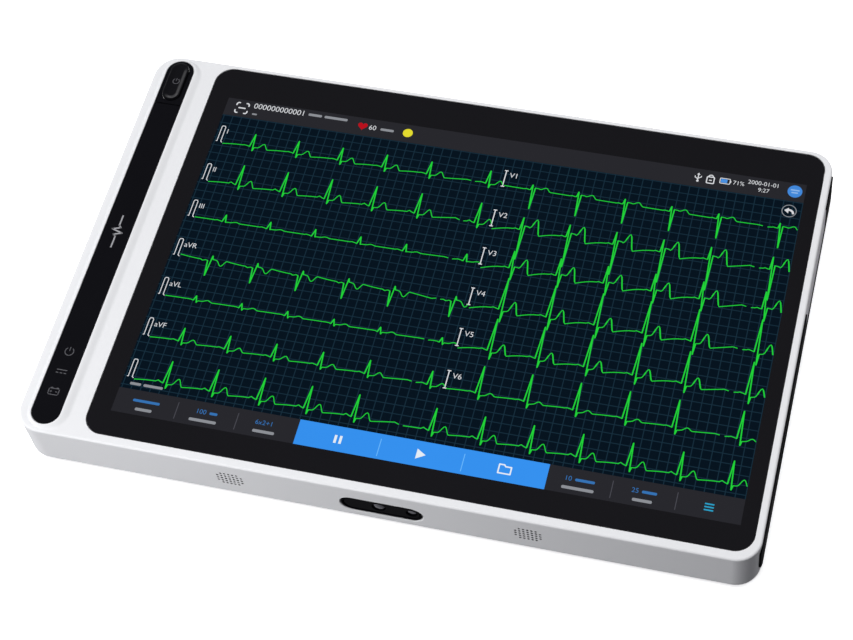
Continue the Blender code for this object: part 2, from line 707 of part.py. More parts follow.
def make_side_panel():
    skin = rounded(PANEL_Y, PANEL_Z, 2.7, 4)
    inner = rounded(BLOCK_Y, BLOCK_Z, 1.3, 4)
    shape = bmesh.new()
    loft(shape, [(inner, BLOCK_BACK), (inner, SKIN_BACK), (skin, SKIN_BACK), (skin, PANEL_FACE)], "X")
    panel = finish("side_panel", shape, BLACK)
    trim = bmesh.new()
    prism(trim, body_outline(BODY_X[1] - PANEL_FACE), (0.0, TOP))
    combine(panel, trim, "INTERSECT", "panel_trim")
    cuts = bmesh.new()
    pocket_y, _ = grown(FLAP_Y, FLAP_Z, GAP)
    pocket = rounded(pocket_y, (FLAP_Z[0] - GAP, PANEL_Z[1] + 1), 0.4, 3)
    prism(cuts, pocket, (FLAP_FACE - FLAP_THICKNESS - GAP, PANEL_FACE + 1), "X")
    mouth = rounded(between(SOCKET_Y, 12.9), between(SOCKET_Z, 4.5), (2.9, 2.9, 2.1, 2.1), 4)
    through = (BLOCK_BACK - 1, PANEL_FACE + 1)
    prism(cuts, mouth, through, "X")
    for side in (-1, 1):
        cylinder(cuts, (SOCKET_Y + side * LOCK_SPACING / 2, SOCKET_Z), 3.0, through, "X")
    cylinder(cuts, (INLET_Y, SOCKET_Z), 4.4, through, "X", 24)
    prism(cuts, rounded(*grown(USB_Y, USB_Z, 0.6), 0.6, 3), (BLOCK_BACK - 1, SKIN_BACK), "X")
    prism(cuts, rounded(*grown(CARD_Y, CARD_Z, GAP), 0.4, 3), (BLOCK_BACK - 1, SKIN_BACK), "X")
    cut(panel, cuts, "panel_cuts")
    x, z = flap_axis()
    pin_seat = bmesh.new()
    cylinder(pin_seat, (x, z), PIN_BORE, (FLAP_Y[0] - 2.2, FLAP_Y[1] + 2.2), "Y", 12)
    cut(panel, pin_seat, "pin_seat")


def make_port_cover():
    """Flap with a round lower edge and a thinner free edge, turning on a wire pin."""
    x, z = flap_axis()
    half = FLAP_THICKNESS / 2
    turns = [math.radians(angle) for angle in range(180, 361, 20)]
    profile = [(half * math.cos(turn), half * math.sin(turn)) for turn in turns]
    top = FLAP_Z[1] - z
    back = half - FLAP_TIP
    profile += [(half, top - 0.4), (half - 0.15, top - 0.1), (half - 0.4, top), (back + 0.2, top),
                (back, top - 0.2), (-half, top * 0.3)]
    shape = bmesh.new()
    prism(shape, profile, FLAP_Y, "Y")
    flap = finish("port_cover", shape, GREY)
    flap.location = (x * MM, 0.0, z * MM)
    bore = bmesh.new()
    cylinder(bore, (x, z), PIN_BORE, (FLAP_Y[0] - 1, FLAP_Y[1] + 1), "Y", 12)
    cut(flap, bore, "pin_bore")
    shape = bmesh.new()
    cylinder(shape, (x, z), PIN_RADIUS, (FLAP_Y[0] - 1.9, FLAP_Y[1] + 1.9), "Y", 12)
    finish("port_cover_pin", shape, STEEL)


def make_patient_socket():
    """Fifteen-way socket: a flange, a metal shell and a face with two rows of holes, and its screw posts."""
    back = BLOCK_BACK - GAP
    shape = bmesh.new()
    flange = rounded(between(SOCKET_Y, 19.6), between(SOCKET_Z, 5.6), 1.0, 4)
    body = rounded(between(SOCKET_Y, 13.5), between(SOCKET_Z, 4.2), 1.0, 4)
    nose = rounded(between(SOCKET_Y, 12.6), between(SOCKET_Z, 4.2), (2.6, 2.6, 1.8, 1.8), 4)
    loft(shape, [(body, 113.6), (body, back - 1.0), (flange, back - 1.0), (flange, back), (nose, back),
                 (nose, PANEL_FACE - 0.6)], "X")
    socket = finish("patient_socket", shape, TIN)
    holes = bmesh.new()
    for row, count in ((1.42, 8), (-1.42, 7)):
        for k in range(count):
            y = SOCKET_Y + (k - (count - 1) / 2) * 2.77
            cylinder(holes, (y, SOCKET_Z + row), 0.6, (PANEL_FACE - 4.0, PANEL_FACE + 1), "X", 8)
    for side in (-1, 1):
        cylinder(holes, (SOCKET_Y + side * LOCK_SPACING / 2, SOCKET_Z), 1.6, (back - 2, back + 1), "X", 12)
    cut(socket, holes, "socket_holes")

    for side, name in ((-1, "front"), (1, "back")):
        spot = (SOCKET_Y + side * LOCK_SPACING / 2, SOCKET_Z)
        shape = bmesh.new()
        loft(shape, [(circle(spot, 1.2, 12), back - 2.5), (circle(spot, 1.2, 12), back + GAP),
                     (circle(spot, 2.6, 12), back + GAP), (circle(spot, 2.6, 12), PANEL_FACE - 0.4),
                     (circle(spot, 1.1, 12), PANEL_FACE - 0.4), (circle(spot, 1.1, 12), back + 0.9)], "X")
        finish(f"socket_lock_{name}", shape, STEEL)


def make_sockets():
    back = BLOCK_BACK - GAP
    spot = (INLET_Y, SOCKET_Z)
    shape = bmesh.new()
    case = rounded(between(INLET_Y, 4.6), between(SOCKET_Z, 4.2), 0.5, 5)
    nose = pill(spot, (8.0, 8.0), 5)
    loft(shape, [(case, 111.5), (case, back), (nose, back), (nose, PANEL_FACE - 0.3)], "X")
    inlet = finish("dc_inlet", shape, DARK)
    bore = bmesh.new()
    tube(bore, circle(spot, 2.9, 24), circle(spot, 1.05, 24), (PANEL_FACE - 9.5, PANEL_FACE + 1), "X")
    cut(inlet, bore, "inlet_bore")

    shape = bmesh.new()
    outer = rounded(USB_Y, USB_Z, 0.3, 2)
    inner = rounded(*grown(USB_Y, USB_Z, -0.5), 0.2, 2)
    loft(shape, [(outer, 110.0), (outer, SOCKET_FACE), (inner, SOCKET_FACE), (inner, 114.0)], "X")
    usb = finish("usb_socket", shape, TIN)
    tongue = bmesh.new()
    block(tongue, (113.0, SOCKET_FACE - 0.6), (USB_Y[0] + 1.3, USB_Y[1] - 1.3), (10.2, 11.8))
    join(usb, tongue, "usb_tongue")

    shape = bmesh.new()
    outer = rounded(CARD_Y, CARD_Z, 0.2, 2)
    inner = rounded(*grown(CARD_Y, CARD_Z, -0.5), 0.1, 2)
    loft(shape, [(outer, 110.0), (outer, SOCKET_FACE), (inner, SOCKET_FACE), (inner, 112.5)], "X")
    finish("card_socket", shape, TIN)


# ---------------------------------------------------------------- boards and battery

def board_holes(spots, z_range):
    shape = bmesh.new()
    for spot in spots:
        cylinder(shape, spot, BOARD_HOLE, (z_range[0] - 1, z_range[1] + 1), sides=12)
    return shape


def make_board(name, spec, spots):
    x_range, y_range, z_range = spec
    shape = bmesh.new()
    prism(shape, rounded(x_range, y_range, 1.5, 3), z_range)
    board = finish(name, shape, BOARD)
    cut(board, board_holes(spots, z_range), name + "_holes")
    return board


def make_boards():
    main_board = make_board("main_board", MAIN_BOARD, MAIN_SCREWS + MAIN_PINS)
    notch = bmesh.new()
    block(notch, (109.0, 118.0), (22.0, 36.4), (9.0, 14.0))
    cut(main_board, notch, "usb_notch")
    join(main_board, components(), "components")
    make_board("ecg_board", ECG_BOARD, ECG_SCREWS + ECG_PINS)

    shape = bmesh.new()
    can = rounded((14.0, 52.0), (18.0, 40.0), 1.0, 3)
    prism(shape, can, (12.6, 13.9))
    finish("processor_shield", shape, TIN)
    shape = bmesh.new()
    prism(shape, rounded((20.0, 30.0), (22.0, 36.0), 0.8, 3), (14.2, 14.7))
    finish("heat_pad", shape, PAD_BLUE)
    shape = bmesh.new()
    prism(shape, rounded((64.0, 100.0), (-54.0, -14.0), 1.0, 3), (11.3, 13.6))
    finish("ecg_shield", shape, TIN)

    shape = bmesh.new()
    cylinder(shape, (-70.0, 54.0), 8.0, (12.9, 14.5), sides=24)
    finish("coin_cell", shape, STEEL)

    shape = bmesh.new()
    path = [(-9.5, 11.35), (-4.0, 11.8), (2.0, 12.4), (8.0, 12.6), (12.0, 12.6)]
    ribbon(shape, path, 0.25, (78.0, 94.0), "X")
    finish("board_link", shape, AMBER)

    shape = bmesh.new()
    path = [(-112.0, 13.75), (-108.0, 13.7), (-104.0, 13.3), (-98.0, 12.9), (-84.0, 12.6)]
    ribbon(shape, path, 0.25, (26.0, 34.0), "Y")
    finish("button_flex", shape, AMBER)

    shape = bmesh.new()
    block(shape, (45.0, 85.0), (78.6, 78.95), (7.0, 14.0))
    finish("wifi_antenna", shape, COPPER)

    for group, spots, (low, _) in (("main", MAIN_SCREWS, MAIN_BOARD[2]), ("ecg", ECG_SCREWS, ECG_BOARD[2])):
        for number, spot in enumerate(spots, 1):
            shape = bmesh.new()
            head, shank = circle(spot, 1.9, 12), circle(spot, PIN_SIZE, 12)
            loft(shape, [(head, low - 1.3), (head, low - GAP), (shank, low - GAP), (shank, FRAME_Z[0] - 0.8)])
            finish(f"{group}_board_screw_{number}", shape, STEEL)


def components():
    """Chips, coils and capacitors under the main board, in two rows."""
    shape = bmesh.new()
    top = MAIN_BOARD[2][0]
    for k in range(11):
        x_range = between(-76.0 + 16.0 * k, 3.0 + 0.6 * (k % 3))
        y_range = between(22.0 + 14.0 * (k % 2), 2.8)
        block(shape, x_range, y_range, (top - 1.2 - 0.5 * (k % 3), top + 0.3))
    for k in range(6):
        block(shape, between(-60.0 + 24.0 * k, 4.5), between(58.0, 4.5), (top - 1.4, top + 0.3))
    return shape


def make_battery():
    x_range, y_range = grown(BAY_X, BAY_Y, -0.7)
    y_range = (y_range[0], y_range[1] - 0.4)
    outline = rounded(x_range, y_range, 2.0, 4)
    inner = rounded(*grown(x_range, y_range, -0.6), 1.6, 4)
    shape = bmesh.new()
    loft(shape, [(inner, 3.7), (outline, 4.3), (outline, 11.8), (inner, 12.4)])
    finish("battery_pack", shape, WRAP)

    shape = bmesh.new()
    block(shape, CONTACTS_X, (-3.6, 9.0), (4.2, 10.4))
    finish("battery_contacts", shape, DARK)


def smooth_route(points, pieces):
    """Catmull-Rom points through a route chosen by hand."""
    ends = [points[0]] + points + [points[-1]]
    route = []
    for a, b, c, d in zip(ends, ends[1:], ends[2:], ends[3:]):
        for k in range(pieces):
            t = k / pieces
            route.append([0.5 * (2 * q + (r - p) * t + (2 * p - 5 * q + 4 * r - s) * t * t
                                 + (3 * q - p - 3 * r + s) * t ** 3) for p, q, r, s in zip(a, b, c, d)])
    route.append(list(points[-1]))
    return route


def make_speaker_leads():
    """Twin leads, each held along its way between a speaker and the main board."""
    routes = ([(-61.0, -72.3, 9.0), (-62.0, -65.0, 7.6), (-64.5, -50.0, 5.2), (-65.0, -20.0, 4.6),
               (-65.0, 4.0, 5.4), (-65.0, 12.0, 8.4), (-65.0, 16.0, 9.8)],
              [(61.0, -72.2, 9.0), (60.4, -68.0, 8.6), (56.0, -64.0, 7.4), (52.6, -56.0, 5.2),
               (52.0, -20.0, 4.8), (54.0, 4.0, 5.6), (55.0, 12.0, 8.4), (55.0, 16.0, 9.8)])
    for name, route in zip(("speaker_lead_left", "speaker_lead_right"), routes):
        curve = bpy.data.curves.new(name, "CURVE")
        curve.dimensions = "3D"
        curve.bevel_depth = 0.7 * MM
        curve.bevel_resolution = 2
        curve.use_fill_caps = True
        spline = curve.splines.new("POLY")
        points = smooth_route(route, 3)
        spline.points.add(len(points) - 1)
        for slot, point in zip(spline.points, points):
            slot.co = [value * MM for value in point] + [1.0]
        item = bpy.data.objects.new(name, curve)
        bpy.context.scene.collection.objects.link(item)
        curve.materials.append(material(name, *RED))


def main():
    for item in list(bpy.data.objects):
        bpy.data.objects.remove(item)
    make_front_shell()
    make_rear_cover()
    make_case_screws()
    make_battery_cover()
    make_battery_cover_screws()
    make_rubber_feet()
    make_strip_inlay()
    make_button_bezel()
    make_button_hole()
    make_power_button()
    make_button_electronics()
    make_display()
    make_scanner()
    make_speakers()
    make_side_panel()
    make_port_cover()
    make_patient_socket()
    make_sockets()
    make_boards()
    make_battery()
    make_speaker_leads()


main()
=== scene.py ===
"""The looks of a tablet electrocardiograph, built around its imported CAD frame.

The machine lies on its back with the display up. Sizes are in millimetres in the frame's own axes, and MM
turns them into metres. Points on the display are measured from the middle of the picture.
"""
import math

import bmesh
import bpy
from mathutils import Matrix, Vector


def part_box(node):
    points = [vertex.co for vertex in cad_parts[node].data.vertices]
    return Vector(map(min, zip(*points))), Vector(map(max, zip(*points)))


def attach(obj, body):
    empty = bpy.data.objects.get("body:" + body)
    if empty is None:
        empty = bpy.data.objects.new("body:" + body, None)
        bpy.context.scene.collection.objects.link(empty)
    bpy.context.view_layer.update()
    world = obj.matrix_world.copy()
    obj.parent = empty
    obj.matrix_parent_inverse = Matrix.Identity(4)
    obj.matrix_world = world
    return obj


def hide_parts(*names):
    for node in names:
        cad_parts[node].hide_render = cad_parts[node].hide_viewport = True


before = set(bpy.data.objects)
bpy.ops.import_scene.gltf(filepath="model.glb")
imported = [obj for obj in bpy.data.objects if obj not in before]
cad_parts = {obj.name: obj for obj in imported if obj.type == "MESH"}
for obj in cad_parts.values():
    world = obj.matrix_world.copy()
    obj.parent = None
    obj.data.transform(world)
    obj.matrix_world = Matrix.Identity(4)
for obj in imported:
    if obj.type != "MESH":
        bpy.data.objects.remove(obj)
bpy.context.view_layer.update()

MM = 0.001


def span(node):
    """The x, y and z range of a CAD node, in millimetres."""
    low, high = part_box(node)
    return [(a / MM, b / MM) for a, b in zip(low, high)]


SHELL_X, SHELL_Y, SHELL_Z = span("front_shell")
_, _, COVER_Z = span("rear_cover")
GLASS_X, GLASS_Y, GLASS_Z = span("cover_glass")
INLAY_X, INLAY_Y, INLAY_Z = span("strip_inlay")
_, BEZEL_Y, BEZEL_Z = span("button_bezel")
BUTTON_X, BUTTON_Y, BUTTON_Z = span("power_button")
PANEL_X, PANEL_Y, PANEL_Z = span("side_panel")
FLAP_X, FLAP_Y, FLAP_Z = span("port_cover")
DOOR_X, DOOR_Y, _ = span("battery_cover")
TUB_X, TUB_Y, TUB_Z = span("scanner_housing")
PANE_X, PANE_Y, PANE_Z = span("scanner_window")

# Housing
TOP = GLASS_Z[1] + 0.05
RIDGE_TOP = INLAY_Z[1]
LEFT_RADIUS = 9.0
RIGHT_RADIUS = 8.5
EDGE_RADIUS = 0.8
COVER_FILLET = 1.2
CHAMFER = 0.15
FINE_CHAMFER = 0.12
WALL = 2.2
SHELL_GAP = 0.14
CEILING = 17.4
RIDGE_FOOT_X = (-125.5, -109.8)
RIDGE_FOOT_Y = (-80.4, 80.6)
CREST_MARGIN = 0.6
STRIP_Y = (INLAY_Y[0], BEZEL_Y[1])
BUTTON_FLANGE = 0.75
BUTTON_DISH = 0.74
HOLE_PITCH = (1.4, 1.62)
HOLE_COLUMNS = (3, 5, 5, 5, 5, 5, 3)
HOLE_RADIUS = 0.4
PAST = 1.0  # how far a cutter reaches past the face that it cuts

# Seat of the glass
GLASS_RADIUS = 6.5
GLASS_GAP = 0.25
LEDGE = 18.8
LEDGE_WIDTH = 2.25
LEDGE_RADIUS = 5.0

# Right wall
PANEL_GAP = 0.3
PANEL_RADIUS = 3.0
PANEL_SEAT = 126.4
FLAP_TIP = 1.1
PIN_BORE = 0.65

# Back
TONGUE_GAP = 0.3
TONGUE_INSIDE = 1.5
TONGUE_TOP = 4.4
COVER_FLOOR = 3.4
DOOR_GAP = 0.3
DOOR_RADIUS = 3.0
DOOR_SEAT = 2.6
GRIP_INSET = 5.5
GRIP_HALF = (9.0, 1.5)
FOOT_GAP = 0.3
FOOT_SEAT = 2.2
SCREW_DEPTH = 0.1

# The scanner tub's sleeve, which is smaller than its flange
SLEEVE = ((TUB_X[0] + 2.05, TUB_X[1] - 2.05), (TUB_Z[0] + 1.1, TUB_Z[1] - 1.1))

# Display
PICTURE_SHIFT = (1.15, -2.0)
PICTURE = [(low + high) / 2 + shift for (low, high), shift in zip((GLASS_X, GLASS_Y), PICTURE_SHIFT)]
HALF_WIDTH = 108.3
HALF_HEIGHT = 67.8
STATUS_BOTTOM = 60.0
MENU_TOP = -58.4
KEYS_X = (-43.1, 43.3)
CELL = (3.371, 3.433)
GRID_START = (0.3, 59.74)
LINE_WIDTH = 0.32
LINE_BLUR = 0.08
LAYER = 0.012
PICTURE_Z = GLASS_Z[1] + LAYER
MARK_Z = PICTURE_Z + LAYER
TRACE_Z = MARK_Z + LAYER
PRINT_DEPTH = 0.01
ROWS = (47.8, 30.4, 14.0, -3.0, -19.8, -36.8, -53.8)


# ---------------------------------------------------------------- finishes

def linear(code):
    """The linear colour of a display colour written as six hexadecimal digits."""
    values = [int(code[k:k + 2], 16) / 255 for k in (0, 2, 4)]
    return [v / 12.92 if v <= 0.04045 else ((v + 0.055) / 1.055) ** 2.4 for v in values]


NOISE_RANGE = (0.3, 0.7)  # where most of a noise's values lie


def link(tree, source, target):
    tree.links.new(source, target)


def noise(tree, where, scale, detail=3.0):
    """Noise over the object, with scale features in a metre."""
    made = tree.nodes.new("ShaderNodeTexNoise")
    made.inputs["Scale"].default_value = scale
    made.inputs["Detail"].default_value = detail
    link(tree, where, made.inputs["Vector"])
    return made.outputs["Fac"]


def blend_colours(tree, factor, low, high):
    mix = tree.nodes.new("ShaderNodeMix")
    mix.data_type = "RGBA"
    mix.inputs["A"].default_value = (*low, 1.0)
    mix.inputs["B"].default_value = (*high, 1.0)
    link(tree, factor, mix.inputs["Factor"])
    return mix.outputs["Result"]


def ranged(tree, value, source, target=(0.0, 1.0), smooth=False):
    """A value's source range spread over a target range."""
    node = tree.nodes.new("ShaderNodeMapRange")
    node.interpolation_type = "SMOOTHSTEP" if smooth else "LINEAR"
    for socket, bound in zip(("From Min", "From Max", "To Min", "To Max"), (*source, *target)):
        node.inputs[socket].default_value = bound
    link(tree, value, node.inputs["Value"])
    return node.outputs["Result"]


def math_node(tree, operation, first, second=None):
    node = tree.nodes.new("ShaderNodeMath")
    node.operation = operation
    for socket, value in zip(node.inputs, (first, second)):
        if isinstance(value, (int, float)):
            socket.default_value = value
        elif value is not None:
            link(tree, value, socket)
    return node.outputs[0]


def surface(name, colour, roughness, metallic=0.0, tint=0.05, patch=18.0, spread=0.04, grain=0.25, bump=0.05,
            stretch=(1, 1, 1), **fixed):
    """A finish with soft colour patches, a varied roughness and a fine grain. Sizes are in millimetres."""
    made = bpy.data.materials.new(name)
    made.use_nodes = True
    tree = made.node_tree
    shader = tree.nodes["Principled BSDF"]
    shader.inputs["Metallic"].default_value = metallic
    for socket, value in fixed.items():
        shader.inputs[socket.replace("_", " ")].default_value = value
    mapping = tree.nodes.new("ShaderNodeMapping")
    mapping.inputs["Scale"].default_value = stretch
    link(tree, tree.nodes.new("ShaderNodeTexCoord").outputs["Object"], mapping.inputs["Vector"])
    where = mapping.outputs["Vector"]
    broad = noise(tree, where, 1000 / patch)
    fine = noise(tree, where, 1000 / grain, 2.0)
    dark = [v * (1 - tint) for v in colour]
    light = [min(v * (1 + tint), 1.0) for v in colour]
    link(tree, blend_colours(tree, broad, dark, light), shader.inputs["Base Color"])
    mixed = math_node(tree, "ADD", *(math_node(tree, "MULTIPLY", value, 0.5) for value in (broad, fine)))
    gloss = ranged(tree, mixed, NOISE_RANGE, (roughness - spread, roughness + spread))
    link(tree, gloss, shader.inputs["Roughness"])
    relief = tree.nodes.new("ShaderNodeBump")
    relief.inputs["Strength"].default_value = bump
    relief.inputs["Distance"].default_value = grain * MM
    link(tree, fine, relief.inputs["Height"])
    link(tree, relief.outputs["Normal"], shader.inputs["Normal"])
    return made


def glowing(name, code, grid=False):
    """A lit part of the picture, under the same polish as the glass around it."""
    made = bpy.data.materials.new(name)
    made.use_nodes = True
    made.cycles.emission_sampling = "NONE"
    tree = made.node_tree
    shader = tree.nodes["Principled BSDF"]
    shader.inputs["Base Color"].default_value = (0.0005, 0.0005, 0.0005, 1.0)
    shader.inputs["Roughness"].default_value = GLASS_ROUGHNESS
    shader.inputs["Specular IOR Level"].default_value = 0.25
    shader.inputs["Emission Strength"].default_value = 1.0
    where = tree.nodes.new("ShaderNodeTexCoord").outputs["Object"]
    colour = linear(code)
    if grid:
        factor = grid_lines(tree, where)
        lit = blend_colours(tree, factor, colour, linear(GRID_LINE))
    else:
        factor = noise(tree, where, 25.0)
        shades = [[min(v * share, 1.0) for v in colour] for share in (0.96, 1.04)]
        lit = blend_colours(tree, factor, *shades)
    link(tree, lit, shader.inputs["Emission Color"])
    return made


def grid_lines(tree, where):
    """1 on the grid's lines and 0 between them, with soft edges."""
    split = tree.nodes.new("ShaderNodeSeparateXYZ")
    link(tree, where, split.inputs["Vector"])
    lines = []
    for axis in (0, 1):
        start = (PICTURE[axis] + GRID_START[axis]) * MM
        offset = math_node(tree, "SUBTRACT", split.outputs[axis], start)
        cells = math_node(tree, "DIVIDE", offset, CELL[axis] * MM)
        away = math_node(tree, "MULTIPLY", math_node(tree, "PINGPONG", cells, 0.5), CELL[axis])
        edge = (LINE_WIDTH / 2 + LINE_BLUR, LINE_WIDTH / 2 - LINE_BLUR)
        lines.append(ranged(tree, away, edge, smooth=True))
    return math_node(tree, "MAXIMUM", *lines)


GLASS_BLACK = (0.0078, 0.0076, 0.0092)
GLASS_ROUGHNESS = 0.06
GRID_LINE = "162e3d"

WHITE = surface("white_moulding", (0.70, 0.705, 0.725), 0.42, tint=0.012, grain=0.35, bump=0.06, spread=0.05)
GLASS = surface("black_glass", GLASS_BLACK, GLASS_ROUGHNESS, tint=0.1, patch=60.0, spread=0.012, grain=2.0,
                bump=0.0)
INLAY = surface("black_inlay", (0.0045, 0.0045, 0.006), 0.12, tint=0.1, spread=0.03, bump=0.02,
                Specular_IOR_Level=0.35)
PIANO = surface("scanner_black", (0.004, 0.004, 0.005), 0.12, tint=0.1, spread=0.03, bump=0.01,
                Specular_IOR_Level=0.008)
BUTTON = surface("button_black", (0.006, 0.006, 0.0075), 0.17, tint=0.1, spread=0.04, bump=0.03)
BLACK = surface("black_moulding", (0.013, 0.013, 0.015), 0.45, tint=0.1, grain=0.4, bump=0.12, spread=0.08)
PANEL_BLACK = surface("panel_black", (0.006, 0.006, 0.007), 0.6, tint=0.1, grain=0.4, bump=0.08,
                      Specular_IOR_Level=0.01)
GREY = surface("grey_moulding", (0.57, 0.57, 0.605), 0.42, tint=0.02, grain=0.35, bump=0.07)
RUBBER = surface("black_rubber", (0.022, 0.022, 0.023), 0.78, tint=0.15, grain=0.5, bump=0.25, spread=0.08)
STEEL = surface("plated_steel", (0.56, 0.56, 0.58), 0.30, 1.0, patch=3.0, grain=0.15, bump=0.08, spread=0.1)
TIN = surface("tin_plate", (0.74, 0.73, 0.70), 0.28, 1.0, patch=5.0, grain=0.3, bump=0.05, stretch=(1, 6, 1))
ALUMINIUM = surface("aluminium_sheet", (0.62, 0.63, 0.65), 0.36, 1.0, grain=0.2, bump=0.1, stretch=(1, 14, 1))
DISPLAY_BACK = surface("display_metal", (0.30, 0.31, 0.33), 0.36, 0.8, grain=0.2, bump=0.1,
                       stretch=(12, 1, 1))
BOARD = surface("board_green", (0.018, 0.16, 0.065), 0.34, tint=0.2, patch=4.0, grain=0.6, bump=0.2,
                Coat_Weight=0.3)
FILM = surface("amber_film", (0.72, 0.36, 0.07), 0.34, tint=0.12, patch=6.0, bump=0.04, Coat_Weight=0.4)
COPPER = surface("antenna_copper", (0.62, 0.36, 0.16), 0.4, 0.7, tint=0.1, patch=4.0)
WRAP = surface("battery_wrap", (0.055, 0.065, 0.09), 0.5, tint=0.15, grain=0.8, bump=0.12)
PAD = surface("heat_pad_blue", (0.35, 0.52, 0.62), 0.72, tint=0.1, grain=0.6, bump=0.2)
LEAD = surface("red_lead", (0.42, 0.025, 0.02), 0.42, tint=0.08, grain=0.4, bump=0.05)
CLEAR = surface("frosted_guide", (0.82, 0.84, 0.87), 0.5, tint=0.04, grain=0.3, bump=0.1)
LENS = surface("lens_grey", (0.085, 0.085, 0.10), 0.2, tint=0.25, patch=1.2, bump=0.0, Coat_Weight=0.15)
# Dark grey for the walls of the speaker holes: painted shade inside the holes, not a grille part of the
# housing.
PAINTED_HOLE_SHADE = surface("painted_hole_shade", (0.05, 0.05, 0.053), 0.7, tint=0.15, grain=0.3, bump=0.15)
PRINT = surface("printed_grey", (0.085, 0.085, 0.095), 0.5, tint=0.08, patch=2.0, bump=0.05)
PALE_PRINT = surface("printed_pale", (0.30, 0.30, 0.32), 0.45, tint=0.06, patch=2.0, bump=0.05)


# ---------------------------------------------------------------- shapes

def place(u, v, w, axis):
    """A point whose u and v lie across an extrusion, and w along it, in metres."""
    point = {"X": (w, u, v), "Y": (u, w, v), "Z": (u, v, w)}[axis]
    return [value * MM for value in point]


def rounded(u_range, v_range, radii, steps=16):
    """Rounded rectangle, counterclockwise. radii is one radius, or those of the corners from lower left."""
    if not isinstance(radii, tuple):
        radii = (radii,) * 4
    (u0, u1), (v0, v1) = u_range, v_range
    corners = ((u0, v0, 1, 1, 180), (u1, v0, -1, 1, 270), (u1, v1, -1, -1, 0), (u0, v1, 1, -1, 90))
    points = []
    for (u, v, side_u, side_v, start), radius in zip(corners, radii):
        for step in range(steps + 1):
            angle = math.radians(start + 90 * step / steps)
            points.append((u + side_u * radius + radius * math.cos(angle),
                           v + side_v * radius + radius * math.sin(angle)))
    return points


def grown(u_range, v_range, by):
    return (u_range[0] - by, u_range[1] + by), (v_range[0] - by, v_range[1] + by)


def capsule(u_range, v_range, by=0.0, steps=16):
    """Outline with full round ends, moved out by a distance."""
    u_range, v_range = grown(u_range, v_range, by)
    radius = min(u_range[1] - u_range[0], v_range[1] - v_range[0]) / 2 - 0.005
    return rounded(u_range, v_range, radius, steps)


def circle(centre, radius, sides=32):
    return [(centre[0] + radius * math.cos(math.tau * k / sides),
             centre[1] + radius * math.sin(math.tau * k / sides)) for k in range(sides)]


def middle(span_range):
    return (span_range[0] + span_range[1]) / 2


def between(value, half):
    return value - half, value + half


def loft(shape, sections, axis="Z", ring=False):
    """Skin a list of (outline, height). A ring's last section joins its first, and other ends are capped."""
    loops = [[shape.verts.new(place(u, v, w, axis)) for u, v in outline] for outline, w in sections]
    pairs = list(zip(loops, loops[1:]))
    if ring:
        pairs.append((loops[-1], loops[0]))
    else:
        shape.faces.new(loops[0][::-1])
        shape.faces.new(loops[-1])
    for low, high in pairs:
        for k in range(len(low)):
            n = (k + 1) % len(low)
            shape.faces.new((low[k], low[n], high[n], high[k]))


def lofted(sections, axis="Z", ring=False):
    """A new shape made by one loft."""
    shape = bmesh.new()
    loft(shape, sections, axis, ring)
    return shape


def smoothed(mesh):
    """The same mesh, smooth but for its creases."""
    mesh.shade_smooth()
    mesh.set_sharp_from_angle(angle=math.radians(32))
    return mesh


def finish_mesh(name, shape):
    bmesh.ops.recalc_face_normals(shape, faces=shape.faces[:])
    mesh = bpy.data.meshes.new(name)
    shape.to_mesh(mesh)
    shape.free()
    return smoothed(mesh)


def add_object(name, data):
    item = bpy.data.objects.new(name, data)
    bpy.context.scene.collection.objects.link(item)
    return item


def piece(name, shape, look, stands_for=(), body="housing"):
    """Turn a shape into a visible piece that rides on a body."""
    item = add_object(name, finish_mesh(name, shape))
    item.data.materials.append(look)
    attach(item, body)
    if stands_for:
        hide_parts(*stands_for)
    return item


def even_normals(item):
    """Keep broad flat faces flat beside their rounded edges."""
    modifier = item.modifiers.new("even_normals", "WEIGHTED_NORMAL")
    modifier.keep_sharp = True


def combine(item, shape, operation, look=None):
    """Join a shape to a piece, or cut it away, in its own mesh. Cut faces can have a look of their own."""
    tool = add_object("tool", finish_mesh("tool", shape))
    modifier = item.modifiers.new("combine", "BOOLEAN")
    modifier.operation = operation
    modifier.use_self = True
    modifier.object = tool
    if look:
        tool.data.materials.append(look)
        modifier.material_mode = "TRANSFER"
    bpy.context.view_layer.update()
    mesh = bpy.data.meshes.new_from_object(item.evaluated_get(bpy.context.evaluated_depsgraph_get()))
    item.modifiers.clear()
    item.data = smoothed(mesh)
    bpy.data.objects.remove(tool)


def cut(item, shape, look=None):
    combine(item, shape, "DIFFERENCE", look)


# ---------------------------------------------------------------- housing

def body_outline(inset):
    """The housing's outline, drawn in by a distance."""
    left, right = LEFT_RADIUS - inset, RIGHT_RADIUS - inset
    return rounded(*grown(SHELL_X, SHELL_Y, -inset), (left, right, right, left))


def fillet(radius, steps=8):
    """Pairs of inset and rise along a quarter circle, from the wall to the top."""
    turns = [math.radians(90 * step / steps) for step in range(steps + 1)]
    return [(radius * (1 - math.cos(turn)), radius * math.sin(turn)) for turn in turns]


